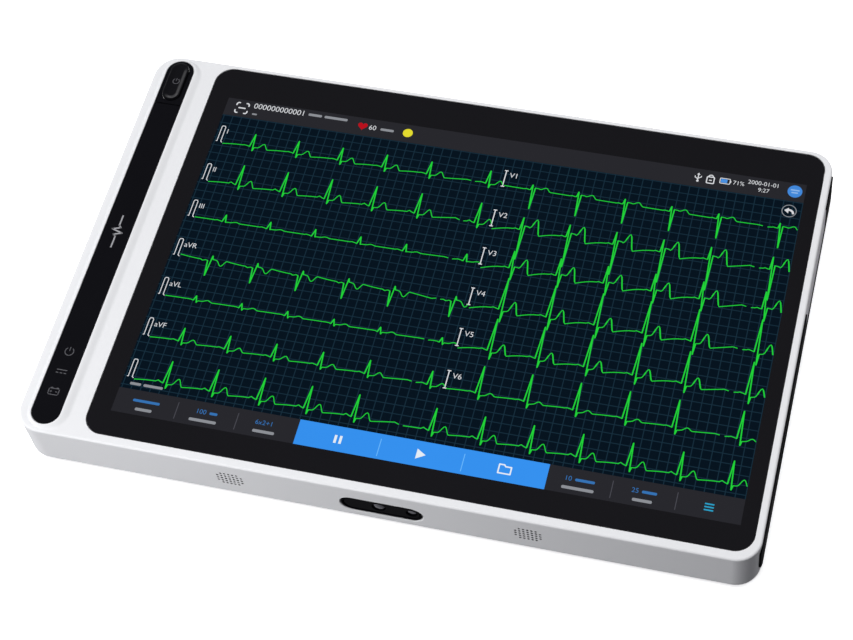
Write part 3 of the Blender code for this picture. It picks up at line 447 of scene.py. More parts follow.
def make_shell():
    """White frame with a softened outer edge and a ledge for the glass."""
    opening = grown(GLASS_X, GLASS_Y, GLASS_GAP)
    mouth = rounded(*opening, GLASS_RADIUS + GLASS_GAP)
    lip = rounded(*grown(*opening, FINE_CHAMFER), GLASS_RADIUS + GLASS_GAP + FINE_CHAMFER)
    shelf = rounded(*grown(*opening, -LEDGE_WIDTH), LEDGE_RADIUS)
    inside = body_outline(WALL)
    sections = [(body_outline(CHAMFER), SHELL_Z[0]), (body_outline(0.0), SHELL_Z[0] + CHAMFER)]
    sections += [(body_outline(inset), TOP - EDGE_RADIUS + rise) for inset, rise in fillet(EDGE_RADIUS)]
    sections += [(lip, TOP), (mouth, TOP - FINE_CHAMFER), (mouth, LEDGE), (shelf, LEDGE), (shelf, CEILING),
                 (inside, CEILING), (inside, SHELL_Z[0])]
    shell = piece("shell_skin", lofted(sections, ring=True), WHITE, ["front_shell"])
    combine(shell, ridge(), "UNION")
    cut(shell, strip_pocket())
    cut(shell, scanner_opening())
    # The hole walls take the dark grey, which is painted shade inside the holes.
    cut(shell, speaker_holes(), PAINTED_HOLE_SHADE)
    cut(shell, panel_recess())
    even_normals(shell)


def ridge():
    """A low island around the strip, with an S-shaped slope on all sides."""
    crest = grown(INLAY_X, STRIP_Y, CREST_MARGIN)
    steps = 12
    sections = []
    for step in range(steps + 1):
        part = step / steps
        x_range = [low + (high - low) * part for low, high in zip(RIDGE_FOOT_X, crest[0])]
        y_range = [low + (high - low) * part for low, high in zip(RIDGE_FOOT_Y, crest[1])]
        height = TOP + (RIDGE_TOP - TOP) * (3 * part ** 2 - 2 * part ** 3)
        sections.append((capsule(x_range, y_range, steps=24), height))
    return lofted([(sections[0][0], TOP - 0.5)] + sections)


def strip_pocket():
    """Cutter for the seat of the strip and the bezel, with a lead-in."""
    sections = [(0.2, INLAY_Z[0] - 0.3), (0.2, RIDGE_TOP - 0.1), (0.3, RIDGE_TOP), (0.3, RIDGE_TOP + PAST)]
    return lofted([(capsule(INLAY_X, STRIP_Y, margin, 24), height) for margin, height in sections])


def speaker_holes():
    """Cutters for two round groups of small holes."""
    face = SHELL_Y[0]
    steps = [(0.05, -0.5), (0.05, 0.0), (0.0, 0.05), (0.0, WALL + 0.5)]
    shape = bmesh.new()
    for node in ("speaker_mesh_left", "speaker_mesh_right"):
        x_range, _, z_range = span(node)
        for column, count in enumerate(HOLE_COLUMNS):
            x = middle(x_range) + (column - len(HOLE_COLUMNS) // 2) * HOLE_PITCH[0]
            for row in range(count):
                spot = (x, middle(z_range) + (row - (count - 1) / 2) * HOLE_PITCH[1])
                loft(shape, [(circle(spot, HOLE_RADIUS + margin, 12), face + y) for margin, y in steps], "Y")
    return shape


def scanner_opening():
    """Cutter for a capsule opening with a small lead-in."""
    face = SHELL_Y[0]
    hole = [(0.55, face - PAST), (0.55, face), (0.3, face + 0.25), (0.3, face + WALL + PAST)]
    return lofted([(capsule(*SLEEVE, margin), y) for margin, y in hole], "Y")


def panel_recess():
    """Cutter for the side panel's seat and the opening behind it, with a thin lead-in."""
    through, lead_in = -0.5, PANEL_GAP + FINE_CHAMFER
    sections = [(through, PANEL_X[0] - 2 * PAST), (through, PANEL_SEAT), (PANEL_GAP, PANEL_SEAT),
                (PANEL_GAP, SHELL_X[1] - FINE_CHAMFER), (lead_in, SHELL_X[1]), (lead_in, SHELL_X[1] + PAST)]
    return lofted([(rounded(*grown(PANEL_Y, PANEL_Z, margin), PANEL_RADIUS + margin), x)
                   for margin, x in sections], "X")


def make_cover():
    """Back tray with a soft bottom edge, the battery opening, foot seats and screw seats."""
    bottom, seam = COVER_Z[0], SHELL_Z[0] - SHELL_GAP
    tongue, inside = body_outline(WALL + TONGUE_GAP), body_outline(WALL + TONGUE_INSIDE)
    sections = [(body_outline(inset), bottom + COVER_FILLET - rise)
                for inset, rise in reversed(fillet(COVER_FILLET))]
    sections += [(body_outline(0.0), seam - FINE_CHAMFER), (body_outline(FINE_CHAMFER), seam), (tongue, seam),
                 (tongue, TONGUE_TOP), (inside, TONGUE_TOP), (inside, COVER_FLOOR)]
    cover = piece("cover_skin", lofted(sections), WHITE, ["rear_cover"])
    tools = bmesh.new()
    step = grown(DOOR_X, DOOR_Y, DOOR_GAP)
    wide = rounded(*grown(*step, CHAMFER), DOOR_RADIUS + CHAMFER)
    mouth = rounded(*step, DOOR_RADIUS)
    loft(tools, [(wide, bottom - PAST), (wide, bottom), (mouth, bottom + CHAMFER), (mouth, DOOR_SEAT)])
    for k in range(1, 5):
        spot, radius = disc(f"rubber_foot_{k}")
        seat = [(CHAMFER, bottom - PAST), (CHAMFER, bottom), (0.0, bottom + CHAMFER), (0.0, FOOT_SEAT)]
        loft(tools, [(circle(spot, radius + FOOT_GAP + margin, 48), z) for margin, z in seat])
        screw_seat(tools, f"case_screw_{k}")
    cut(cover, tools)
    even_normals(cover)


def disc(node):
    """The middle and the radius of a round node that lies flat."""
    x_range, y_range, _ = span(node)
    return (middle(x_range), middle(y_range)), (x_range[1] - x_range[0]) / 2


def screw_seat(shape, node):
    """Cutter for a countersunk hole from below."""
    spot, _ = disc(node)
    profile = [(2.4, -PAST), (2.4, 0.0), (2.3, 0.2), (1.35, 1.1), (1.35, 1.7)]
    loft(shape, [(circle(spot, radius), COVER_Z[0] + z) for radius, z in profile])


def make_door():
    """Battery cover with a softened rim, a finger grip and countersunk holes."""
    bottom, radius = COVER_Z[0], DOOR_RADIUS - DOOR_GAP
    outline = [(CHAMFER, bottom), (0.0, bottom + CHAMFER), (0.0, DOOR_SEAT - DOOR_GAP)]
    shape = lofted([(rounded(*grown(DOOR_X, DOOR_Y, -inset), radius - inset), z) for inset, z in outline])
    door = piece("door_skin", shape, WHITE, ["battery_cover"])
    tools = bmesh.new()
    x_range = between(middle(DOOR_X), GRIP_HALF[0])
    y_range = between(DOOR_Y[0] + GRIP_INSET, GRIP_HALF[1])
    grip = [(0.2, -PAST), (0.2, 0.0), (0.0, CHAMFER), (-0.35, 0.55), (-0.7, 0.6)]
    loft(tools, [(capsule(x_range, y_range, margin), bottom + z) for margin, z in grip])
    for k in (1, 2):
        screw_seat(tools, f"battery_cover_screw_{k}")
    cut(door, tools)
    even_normals(door)


def make_screws():
    """Flat-head screws with a cross recess, all from one mesh."""
    sections = [(1.75, 0.0), (1.95, 0.12), (1.95, 0.25), (1.0, 1.2), (1.0, 8.0)]
    shape = lofted([(circle((0, 0), radius, 40), z) for radius, z in sections])
    model = add_object("screw_model", finish_mesh("screw_model", shape))
    cross = bmesh.new()
    for half in ((1.25, 0.26), (0.26, 1.25)):
        wide = rounded(between(0, half[0]), between(0, half[1]), 0.1, 3)
        tight = rounded(between(0, half[0] * 0.6), between(0, half[1] * 0.6), 0.05, 3)
        loft(cross, [(wide, -PAST), (wide, 0.0), (tight, 0.9)])
    cut(model, cross)
    mesh = model.data
    mesh.materials.append(STEEL)
    bpy.data.objects.remove(model)
    nodes = [f"case_screw_{k}" for k in range(1, 5)] + [f"battery_cover_screw_{k}" for k in (1, 2)]
    for node in nodes:
        (x, y), _ = disc(node)
        screw = add_object(node + "_head", mesh)
        screw.location = place(x, y, COVER_Z[0] + SCREW_DEPTH, "Z")
        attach(screw, "housing")
        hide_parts(node)


def make_feet():
    """Round rubber pads with a soft edge and a ring groove."""
    for k in range(1, 5):
        node = f"rubber_foot_{k}"
        spot, radius = disc(node)
        bottom, top = span(node)[2]
        profile = [(2.4, bottom), (2.1, bottom + 0.25), (1.8, bottom + 0.25), (1.6, bottom), (0.6, bottom),
                   (0.28, bottom + 0.1), (0.12, bottom + 0.4), (0.0, top)]
        shape = lofted([(circle(spot, radius - inset, 56), z) for inset, z in profile])
        piece(f"foot_pad_{k}", shape, RUBBER, [node])


# ---------------------------------------------------------------- strip and button

def strip_outline(y_range, margin, ends):
    """Part of the strip's outline. ends says whether its lower and upper end are round."""
    x_range, y_range = grown(INLAY_X, y_range, margin)
    full = (x_range[1] - x_range[0]) / 2 - 0.005
    low, high = (full if round_end else 0.3 for round_end in ends)
    return rounded(x_range, y_range, (low, low, high, high), 24)


def strip_part(name, y_range, bottom, ends, node):
    """A gloss black part of the strip with a softened rim."""
    sections = [(0.0, bottom), (0.0, RIDGE_TOP - 0.08), (-0.08, RIDGE_TOP)]
    shape = lofted([(strip_outline(y_range, margin, ends), z) for margin, z in sections])
    return piece(name, shape, INLAY, [node])


def make_strip():
    even_normals(strip_part("strip_skin", INLAY_Y, INLAY_Z[0], (True, False), "strip_inlay"))
    bezel = strip_part("bezel_skin", BEZEL_Y, BEZEL_Z[0], (False, True), "button_bezel")
    steps = [(0.3, BEZEL_Z[0] - PAST), (0.3, RIDGE_TOP - 0.04), (0.34, RIDGE_TOP), (0.34, RIDGE_TOP + PAST)]
    cut(bezel, lofted([(button_outline(margin), z) for margin, z in steps]))
    even_normals(bezel)


def button_outline(margin):
    """The visible button's outline, which is narrower than its flange."""
    return capsule(*grown(BUTTON_X, BUTTON_Y, -BUTTON_FLANGE), margin, 20)


def make_button():
    """Pill with a rounded rim and a dished top."""
    side = [(0.0, -0.2), (-0.04, -0.08), (-0.14, -0.01), (-0.24, 0.0), (-0.36, -0.03), (-0.55, -0.1),
            (-1.1, -0.36), (-1.6, -0.6), (-1.85, -0.7), (-2.1, -BUTTON_DISH), (-2.6, -BUTTON_DISH)]
    sections = [(0.0, BUTTON_Z[0])] + [(margin, BUTTON_Z[1] + z) for margin, z in side]
    shape = lofted([(button_outline(margin), z) for margin, z in sections])
    piece("button_cap", shape, BUTTON, ["power_button"], body="button")


# ---------------------------------------------------------------- flat marks

def direction(start, end):
    way = Vector((end[0] - start[0], end[1] - start[1]))
    return way.normalized()


def ribbon(shape, points, half, level):
    """A flat band along points that turn gently."""
    ways = [direction(a, b) for a, b in zip(points, points[1:])]
    pairs = []
    for k, (x, y) in enumerate(points):
        before = ways[max(k - 1, 0)]
        after = ways[min(k, len(ways) - 1)]
        along = (before + after).normalized()
        across = Vector((-along.y, along.x)) * half / along.dot(before)
        ends = ((x + side * across.x, y + side * across.y) for side in (1, -1))
        pairs.append([shape.verts.new(place(u, v, level, "Z")) for u, v in ends])
    for (a, b), (c, d) in zip(pairs, pairs[1:]):
        shape.faces.new((a, b, d, c))


def stroke(shape, points, width, level, closed=False):
    """A flat line of even width along points, with a round joint at each sharp turn."""
    points = list(points) + list(points[:1] if closed else [])
    joints = [0] if closed else []
    start = 0
    for k in range(1, len(points) - 1):
        if direction(points[k - 1], points[k]).dot(direction(points[k], points[k + 1])) < 0.9:
            ribbon(shape, points[start:k + 1], width / 2, level)
            joints.append(k)
            start = k
    ribbon(shape, points[start:], width / 2, level)
    for k in joints:
        fill(shape, circle(points[k], width / 2, 8), level)


def fill(shape, outline, level):
    shape.faces.new([shape.verts.new(place(u, v, level, "Z")) for u, v in outline])


def thicken(shape):
    """Give flat print a body of its own, down from its level."""
    made = bmesh.ops.extrude_face_region(shape, geom=shape.faces[:], use_keep_orig=True)
    moved = [item for item in made["geom"] if isinstance(item, bmesh.types.BMVert)]
    bmesh.ops.translate(shape, verts=moved, vec=(0, 0, -PRINT_DEPTH * MM))


def arc(centre, radius, start, end, steps):
    """Points along a part of a circle, between two angles in degrees."""
    turns = [math.radians(start + (end - start) * k / steps) for k in range(steps + 1)]
    return [(centre[0] + radius * math.cos(turn), centre[1] + radius * math.sin(turn)) for turn in turns]


def power_mark(shape, centre, radius, width, level):
    x, y = centre
    stroke(shape, arc(centre, radius, 125, 415, 28), width, level)
    stroke(shape, [(x, y + radius * 0.15), (x, y + radius * 1.15)], width, level)


def make_strip_marks():
    """Dim marks on the strip, turned a quarter turn as it is read from the side, and one on the button."""
    level = RIDGE_TOP + PRINT_DEPTH
    x = middle(INLAY_X)
    shape = bmesh.new()
    power_mark(shape, (x, -49.9), 1.55, 0.3, level)
    stroke(shape, [(x - 1.9, -57.4), (x + 1.9, -57.4)], 0.32, level)
    for start in (-1.9, -0.45, 1.0):
        stroke(shape, [(x + start, -58.6), (x + start + 0.9, -58.6)], 0.32, level)
    stroke(shape, rounded(between(x, 1.85), between(-66.1, 1.2), 0.2, 3), 0.28, level, closed=True)
    for side in (-1.0, 1.0):
        stroke(shape, [(x + side - 0.4, -64.6), (x + side + 0.4, -64.6)], 0.3, level)
        stroke(shape, [(x + side - 0.4, -66.1), (x + side + 0.4, -66.1)], 0.24, level)
    stroke(shape, [(x - 1.0, -65.7), (x - 1.0, -66.5)], 0.24, level)
    thicken(shape)
    piece("strip_marks", shape, PRINT)
    shape = bmesh.new()
    pulse = [(-7.0, 0.0), (-2.6, 0.0), (-1.8, -0.9), (-0.8, 2.0), (0.4, -2.0), (1.3, 0.9), (1.9, 0.0),
             (7.0, 0.0)]
    stroke(shape, [(x - v, 1.0 - u) for u, v in pulse], 0.55, level)
    thicken(shape)
    piece("pulse_mark", shape, PALE_PRINT)
    shape = bmesh.new()
    level = BUTTON_Z[1] - BUTTON_DISH + PRINT_DEPTH
    power_mark(shape, (middle(BUTTON_X), middle(BUTTON_Y) + 0.4), 1.2, 0.26, level)
    thicken(shape)
    piece("button_mark", shape, PRINT, body="button")


# ---------------------------------------------------------------- display

def make_glass():
    """Cover glass with a finely rounded rim."""
    radius = 0.12
    sections = [(radius, GLASS_Z[0]), (0.0, GLASS_Z[0] + radius)]
    sections += [(inset, GLASS_Z[1] - radius + rise) for inset, rise in fillet(radius, 6)]
    shape = lofted([(rounded(*grown(GLASS_X, GLASS_Y, -inset), GLASS_RADIUS - inset, 24), z)
                    for inset, z in sections])
    even_normals(piece("glass_skin", shape, GLASS, ["cover_glass"]))


def on_screen(points):
    """Picture points as points of the frame."""
    return [(PICTURE[0] + x, PICTURE[1] + y) for x, y in points]


def area(x_range, y_range):
    (left, right), (low, high) = x_range, y_range
    return [(left, low), (right, low), (right, high), (left, high)]


def lit(name, parts, look):
    """A piece of the picture made of strokes and filled outlines, in picture points."""
    shape = bmesh.new()
    for part in parts:
        part(shape)
    thicken(shape)
    return piece(name, shape, look)


def line(points, width, level=MARK_Z, closed=False):
    return lambda shape: stroke(shape, on_screen(points), width, level, closed)


def solid(outline, level=MARK_Z):
    return lambda shape: fill(shape, on_screen(outline), level)


def letters(text, spot, size):
    """Plain figures or a lead's standard mark, starting at a spot on the picture."""
    def add(shape):
        curve = bpy.data.curves.new("letters", "FONT")
        curve.body = text
        curve.size = size * MM
        curve.fill_mode = "FRONT"
        curve.offset = -0.004 * size * MM
        holder = bpy.data.objects.new("letters", curve)
        mesh = bpy.data.meshes.new_from_object(holder)
        start = len(shape.verts)
        shape.from_mesh(mesh)
        shape.verts.ensure_lookup_table()
        (x, y), = on_screen([spot])
        for vertex in shape.verts[start:]:
            vertex.co = (vertex.co.x + x * MM, vertex.co.y + y * MM, MARK_Z * MM)
        bpy.data.objects.remove(holder)
        bpy.data.curves.remove(curve)
        bpy.data.meshes.remove(mesh)
    return add


def words(spot, lengths, height, level=MARK_Z):
    """Plain bars that stand for words and spell nothing."""
    x, y = spot
    parts = []
    for length in lengths:
        bar = rounded((x, x + length), (y + height * 0.15, y + height * 0.7), height * 0.22, 5)
        parts.append(solid(bar, level))
        x += length + height * 0.5
    return parts


def make_picture():
    left, right, low, high = -HALF_WIDTH, HALF_WIDTH, -HALF_HEIGHT, HALF_HEIGHT
    lit("screen_grid", [solid(area((left, right), (MENU_TOP, STATUS_BOTTOM)), PICTURE_Z)],
        glowing("picture_grid", "04121e", grid=True))
    lit("screen_bars", [solid(area((left, right), (STATUS_BOTTOM, high)), PICTURE_Z),
                        solid(area((left, KEYS_X[0]), (low, MENU_TOP)), PICTURE_Z),
                        solid(area((KEYS_X[1], right), (low, MENU_TOP)), PICTURE_Z)],
        glowing("picture_bars", "27272c"))
    lit("screen_keys", [solid(area(KEYS_X, (low, MENU_TOP)), PICTURE_Z)], glowing("picture_keys", "3590ee"))
    dividers = [line([(x, -66.6), (x, -60.2)], 0.28) for x in (-86.0, -64.5, 65.0, 86.5)]
    lit("screen_dividers", dividers, glowing("picture_dividers", "4a4a52"))


def beat(spikes, plateau, wave, tail, bump):
    """One heartbeat, from the bump before its spikes to the end of the wave after them."""
    points = [(-3.5, 0.0), (-3.1, bump * 0.6), (-2.7, bump), (-2.2, bump * 0.5), (-1.6, 0.0), (-0.8, -0.25)]
    if spikes[0][0] < -0.3:
        points[-1] = (-1.15, 0.0)
    points += list(spikes)
    last = spikes[-1][0]
    points += [(last + 0.4, plateau * 1.1), (1.7, plateau), (2.3, plateau * 0.8)]
    rise, peak, end = 2.3, 4.4, 6.2
    for k in range(1, 6):
        share = (1 - math.cos(math.pi * k / 5)) / 2
        points.append((rise + (peak - rise) * k / 5, plateau * 0.8 + (wave - plateau * 0.8) * share))
    for k in range(1, 6):
        share = (1 + math.cos(math.pi * k / 5)) / 2
        points.append((peak + (end - peak) * k / 5, tail + (wave - tail) * share))
    return points


LEADS = {
    "I": (((0.0, 5.4), (0.65, -2.0)), -0.4, 1.6, -0.7, 0.15),
    "II": (((0.0, 8.5), (0.65, -2.2)), -0.5, 2.2, -0.7, 0.6),
    "III": (((0.0, 2.8), (0.55, -0.4)), -0.2, 0.3, -0.1, 0.2),
    "aVR": (((-0.1, -6.5), (0.55, 2.0)), 0.5, -1.7, 0.6, -0.4),
    "aVL": (((-0.1, 1.7), (0.55, -1.0)), -0.2, 0.5, -0.2, 0.05),
    "aVF": (((0.0, 5.2), (0.65, -1.6)), -0.6, 1.1, -0.5, 0.25),
    "V1": (((-0.65, 2.2), (0.05, -8.2)), 0.9, 1.6, 0.05, 0.2),
    "V2": (((-0.65, 5.2), (0.05, -12.6)), 1.6, 5.1, -1.6, 0.3),
    "V3": (((-0.65, 7.1), (0.35, -4.8)), 0.6, 4.3, -1.9, 0.3),
    "V4": (((0.0, 12.8), (0.65, -5.3)), -0.8, 3.5, -1.7, 0.3),
    "V5": (((0.0, 12.6), (0.65, -3.6)), -0.9, 2.9, -1.3, 0.3),
    "V6": (((0.0, 10.4), (0.65, -2.6)), -0.9, 0.5, -0.5, 0.2),
}
BEAT = 16.85


def trace(lead, baseline, start, beats, end, rise=True):
    """A stretch of one lead's line, from start through the given beats to end.

    It starts as low as the beat before it ended, or just under the baseline if rise is off.
    """
    shape = beat(*LEADS[lead])
    tail = LEADS[lead][3] if rise else -0.2
    points = [(start, baseline + tail)]
    for middle_x in beats:
        before_x, before_y = points[-1]
        first_x = middle_x + shape[0][0]
        for k in (1, 2, 3):
            share = k / 4
            climb = (before_y - baseline) * (1 - share) ** 1.6
            points.append((before_x + (first_x - before_x) * share, baseline + climb))
        points += [(middle_x + x, baseline + y) for x, y in shape]
    cropped = [(x, y) for x, y in points if x < end]
    before_x, before_y = cropped[-1]
    later = [p for p in points if p[0] >= end]
    height = baseline
    if later:
        height = before_y + (later[0][1] - before_y) * (end - before_x) / (later[0][0] - before_x)
    elif end - before_x > 6.0:
        cropped.append((end - 1.6, baseline + LEADS[lead][4]))
    cropped.append((end, height))
    return cropped


def make_traces():
    left_beats = [-93.2 + BEAT * k for k in range(5)]
    right_beats = [13.25 + BEAT * k for k in range(5)]
    last_beats = [1.3 + BEAT * k for k in range(7)]
    lines = []
    for name, baseline in zip(("I", "II", "III", "aVR", "aVL", "aVF", "II"), ROWS):
        lines.append(trace(name, baseline, -104.4, left_beats, -9.9))
    for name, baseline in zip(("I", "II", "III", "aVR", "aVL", "aVF"), ROWS):
        lines.append(trace(name, baseline, -8.4, [-3.7], 1.7, rise=False))
    for name, baseline in zip(("V1", "V2", "V3", "V4", "V5", "V6"), ROWS):
        lines.append(trace(name, baseline, 2.3, right_beats, 95.9))
        lines.append(trace(name, baseline, 97.6, [102.4], 108.0, rise=False))
    lines.append(trace("II", ROWS[6], -8.4, last_beats, 108.0, rise=False))
    parts = [line(points, 0.32, TRACE_Z) for points in lines]
    parts += [line(points, 0.46, TRACE_Z) for whole in lines for points in steep_parts(whole)]
    lit("screen_traces", parts, glowing("trace_green", "22d038"))


def steep_parts(points):
    """The pieces of a trace that climb or fall sharply, which a display draws bolder."""
    return [(a, b) for a, b in zip(points, points[1:]) if abs(b[1] - a[1]) > 2.5 * abs(b[0] - a[0])]


def make_screen_marks():
    """Calibration pulses, lead names, row marks, readings and icons."""
    pale = []
    for name, y in zip(("I", "II", "III", "aVR", "aVL", "aVF"), ROWS):
        pale.append(letters(name, (-104.4, y + 3.9), 2.9))
    for name, y in zip(("V1", "V2", "V3", "V4", "V5", "V6"), ROWS):
        pale.append(letters(name, (3.3, y + 3.8), 3.0))
        pale.append(line([(1.8, y - 0.4), (1.8, y + 6.5)], 0.38))
        pale += [line([(1.15, y + end), (2.45, y + end)], 0.38) for end in (-0.4, 6.5)]
    pulse = [(-107.2, 0.1), (-106.75, 0.1), (-106.75, 6.5), (-106.5, 7.0), (-105.6, 7.0), (-105.3, 6.5),
             (-105.3, 0.1), (-104.7, -0.3)]
    pale += [line([(x, row + y) for x, y in pulse], 0.3) for row in ROWS]
    pale += scan_icon() + status_icons() + back_icon()
    pale.append(letters("000000000001", (-97.8, 64.7), 3.35))
    pale.append(letters("60", (-52.8, 63.1), 2.9))
    pale.append(letters("71%", (82.4, 63.3), 2.5))
    pale.append(letters("2000-01-01", (87.6, 64.7), 2.45))
    pale.append(letters("9:27", (91.6, 61.9), 2.4))
    lit("screen_marks", pale, glowing("mark_white", "d8dade"))
    make_words()
    make_menu()
    lit("screen_heart", [solid(heart((-55.2, 64.2), 1.95))], glowing("heart_red", "b80f1c"))
    lit("screen_dot", [solid(circle((-37.9, 64.1), 1.85))], glowing("dot_yellow", "e2da2e"))
    lit("screen_badge", [solid(circle((104.6, 64.3), 2.6, 40))], glowing("badge_blue", "4288da"))
    badge = words((103.0, 64.4), (3.2,), 1.0, TRACE_Z) + words((103.4, 63.3), (2.4,), 1.0, TRACE_Z)
    lit("screen_badge_mark", badge, glowing("badge_mark", "8fb8ea"))
    lit("screen_charge", [solid(area((78.1, 80.4), (63.4, 65.0)), TRACE_Z)], glowing("charge_blue", "4a90e0"))
    ring = line(circle((103.9, 55.7), 2.5, 40), 0.3, closed=True)
    lit("screen_ring", [ring], glowing("ring_grey", "8b9096"))


def make_words():
    """Bars where the display has words."""
    parts = words((-76.5, 64.8), (5.2, 8.9), 2.0) + words((-97.5, 61.5), (1.9,), 1.3)
    parts += words((-48.3, 63.1), (5.1,), 1.9) + words((-105.2, -57.0), (4.0, 7.0), 1.8)
    for x, length in ((-97.3, 6.0), (-76.0, 9.7), (-54.3, 7.7), (54.0, 10.8), (75.5, 6.6)):
        parts += words((x - length / 2, -66.4), (length,), 2.0)
    lit("screen_words", parts, glowing("word_grey", "8d9096"))


def make_menu():
    """The menu's readings, its keys and their icons."""
    parts = [letters("100", (-79.3, -63.0), 2.5), letters("6x2+1", (-58.1, -63.0), 2.5),
             letters("10", (49.0, -63.0), 2.5), letters("25", (71.4, -63.0), 2.5)]
    for x, length in ((-102.0, 9.6), (-74.4, 2.8), (52.6, 6.6), (74.9, 5.0)):
        parts += words((x, -63.1), (length,), 1.8)
    lit("screen_figures", parts, glowing("figure_blue", "3572b4"))
    lit("screen_menu", [line([(95.7, y), (98.8, y)], 0.5) for y in (-62.4, -63.5, -64.6)],
        glowing("menu_cyan", "2aa0c8"))
    lit("screen_key_icons", key_icons(), glowing("key_white", "e4ecf4"))
    lit("screen_key_dividers", [line([(x, -66.8), (x, -60.2)], 0.3) for x in (-14.2, 14.7)],
        glowing("key_divider", "69b7fc"))


def scan_icon():
    """Four corner brackets around a short bar."""
    x, y = -102.0, 64.0
    parts = [line([(x - 1.4, y), (x + 1.4, y)], 0.55)]
    for side in (1, -1):
        for way in (1, -1):
            bend = ((1.1, 2.3), (1.9, 2.3), (2.35, 1.8), (2.35, 1.0))
            parts.append(line([(x + side * u, y + way * v) for u, v in bend], 0.5))
    return parts


def status_icons():
    """A plug tree, a card and a battery outline."""
    y = 64.1
    parts = [line([(69.9, y - 1.5), (69.9, y + 1.5)], 0.36), solid(circle((69.9, y - 1.5), 0.45, 16)),
             line([(68.8, y + 0.6), (68.8, y), (69.9, y - 0.7)], 0.34),
             line([(71.0, y + 0.8), (71.0, y + 0.3), (69.9, y - 0.4)], 0.34),
             solid([(69.3, y + 1.2), (70.5, y + 1.2), (69.9, y + 2.0)])]
    parts.append(line(rounded((73.1, 75.7), (y - 1.8, y + 0.9), 0.3, 3), 0.42, closed=True))
    parts.append(line(arc((74.4, y + 0.9), 0.85, 0, 180, 8), 0.42))
    parts.append(line([(73.9, y - 0.5), (74.9, y - 0.5)], 0.4))
    parts.append(line(rounded((77.8, 81.4), (63.1, 65.3), 0.3, 3), 0.3, closed=True))
    parts.append(line([(81.65, 63.8), (81.65, 64.6)], 0.35))
    return parts


def back_icon():
    """An arrow that turns back."""
    x, y = 103.9, 55.7
    head = [(x - 1.75, y + 0.15), (x - 0.2, y + 1.35), (x - 0.2, y - 1.05)]
    tail = [(x - 0.4, y + 0.5), (x + 0.6, y + 0.35), (x + 1.3, y - 0.2), (x + 1.6, y - 1.1)]
    return [solid(head[::-1]), line(tail, 0.75)]


def key_icons():
    """Pause, start and folder on the three keys."""
    y = -63.3
    parts = [line([(x, y - 1.5), (x, y + 1.5)], 0.9) for x in (-29.5, -27.7)]
    parts.append(solid([(-1.3, y - 1.9), (1.9, y), (-1.3, y + 1.9)]))
    folder = ((26.9, -1.5), (31.1, -1.5), (31.1, 1.1), (29.1, 1.1), (28.6, 1.7), (26.9, 1.7))
    parts.append(line([(x, y + v) for x, v in folder], 0.5, closed=True))
    return parts


def heart(centre, size):
    x, y = centre
    points = []
    for k in range(28):
        turn = math.tau * k / 28
        u = 16 * math.sin(turn) ** 3
        v = 13 * math.cos(turn) - 5 * math.cos(2 * turn) - 2 * math.cos(3 * turn) - math.cos(4 * turn)
        points.append((x + size * u / 17, y + size * v / 17))
    return points[::-1]


# ---------------------------------------------------------------- front and right walls

def make_scanner():
    """Gloss tub, dark window with two holes, lens and aiming light."""
    face = SHELL_Y[0]
    back = TUB_Y[1]
    rim = [(0.0, back), (0.0, face + 0.45), (-0.08, face + 0.27), (-0.25, face + 0.2), (-0.42, face + 0.27),
           (-0.62, face + 0.6), (-0.62, face + 1.9), (-2.0, face + 1.9), (-2.0, back)]
    shape = lofted([(capsule(*SLEEVE, margin, 24), y) for margin, y in rim], "Y", ring=True)
    piece("scanner_tub", shape, PIANO, ["scanner_housing"])

    pane = [(0.0, PANE_Y[1]), (0.0, PANE_Y[0] + 0.15), (-0.15, PANE_Y[0])]
    shape = lofted([(capsule(PANE_X, PANE_Z, margin, 24), y) for margin, y in pane], "Y")
    window = piece("scanner_pane", shape, PIANO, ["scanner_window"])
    holes = bmesh.new()
    hole = [(0.2, PANE_Y[0] - PAST), (0.2, PANE_Y[0]), (0.0, PANE_Y[0] + 0.2), (0.0, PANE_Y[1] + PAST)]
    for node, name, dome in (("scanner_lens", "lens_dome", 0.75), ("aiming_light", "aimer_dome", 0.4)):
        x_range, y_range, z_range = span(node)
        spot = (middle(x_range), middle(z_range))
        radius = (x_range[1] - x_range[0]) / 2
        loft(holes, [(circle(spot, radius + 0.3 + margin, 40), y) for margin, y in hole], "Y")
        sections = [(radius, y_range[1])]
        for step in range(9):
            turn = math.radians(90 * step / 9)
            sections.append((radius * math.cos(turn), y_range[0] + dome * (1 - math.sin(turn))))
        shape = lofted([(circle(spot, r, 40), y) for r, y in sections], "Y")
        piece(name, shape, LENS, [node])
    cut(window, holes)
    even_normals(window)


def make_flap():
    """Port flap with a round hinge edge around its pin, and a back that thins towards its soft free edge."""
    half = (FLAP_X[1] - FLAP_X[0]) / 2
    x, z = middle(FLAP_X), FLAP_Z[0] + half
    top = FLAP_Z[1] - z
    corner = 0.35
    back = half - FLAP_TIP
    profile = arc((0.0, 0.0), half, 180, 360, 16) + arc((half - corner, top - corner), corner, 0, 90, 6)
    profile += [(back + 0.2, top), (back, top - 0.2), (-half, top * 0.3)]
    soft = 0.2
    ends = ((soft, FLAP_Y[0]), (0.0, FLAP_Y[0] + soft), (0.0, FLAP_Y[1] - soft), (soft, FLAP_Y[1]))
    sections = []
    for inset, y in ends:
        slim = 1 - 0.8 * inset / half
        short = 1 - inset / top
        outline = [(x + u * slim, z + v * (short if v > 0 else slim)) for u, v in profile]
        sections.append((outline, y))
    flap = piece("flap_skin", lofted(sections, "Y"), GREY, ["port_cover"], body="flap")
    reach = (FLAP_Y[0] - PAST, FLAP_Y[1] + PAST)
    cut(flap, lofted([(circle((x, z), PIN_BORE, 24), y) for y in reach], "Y"))


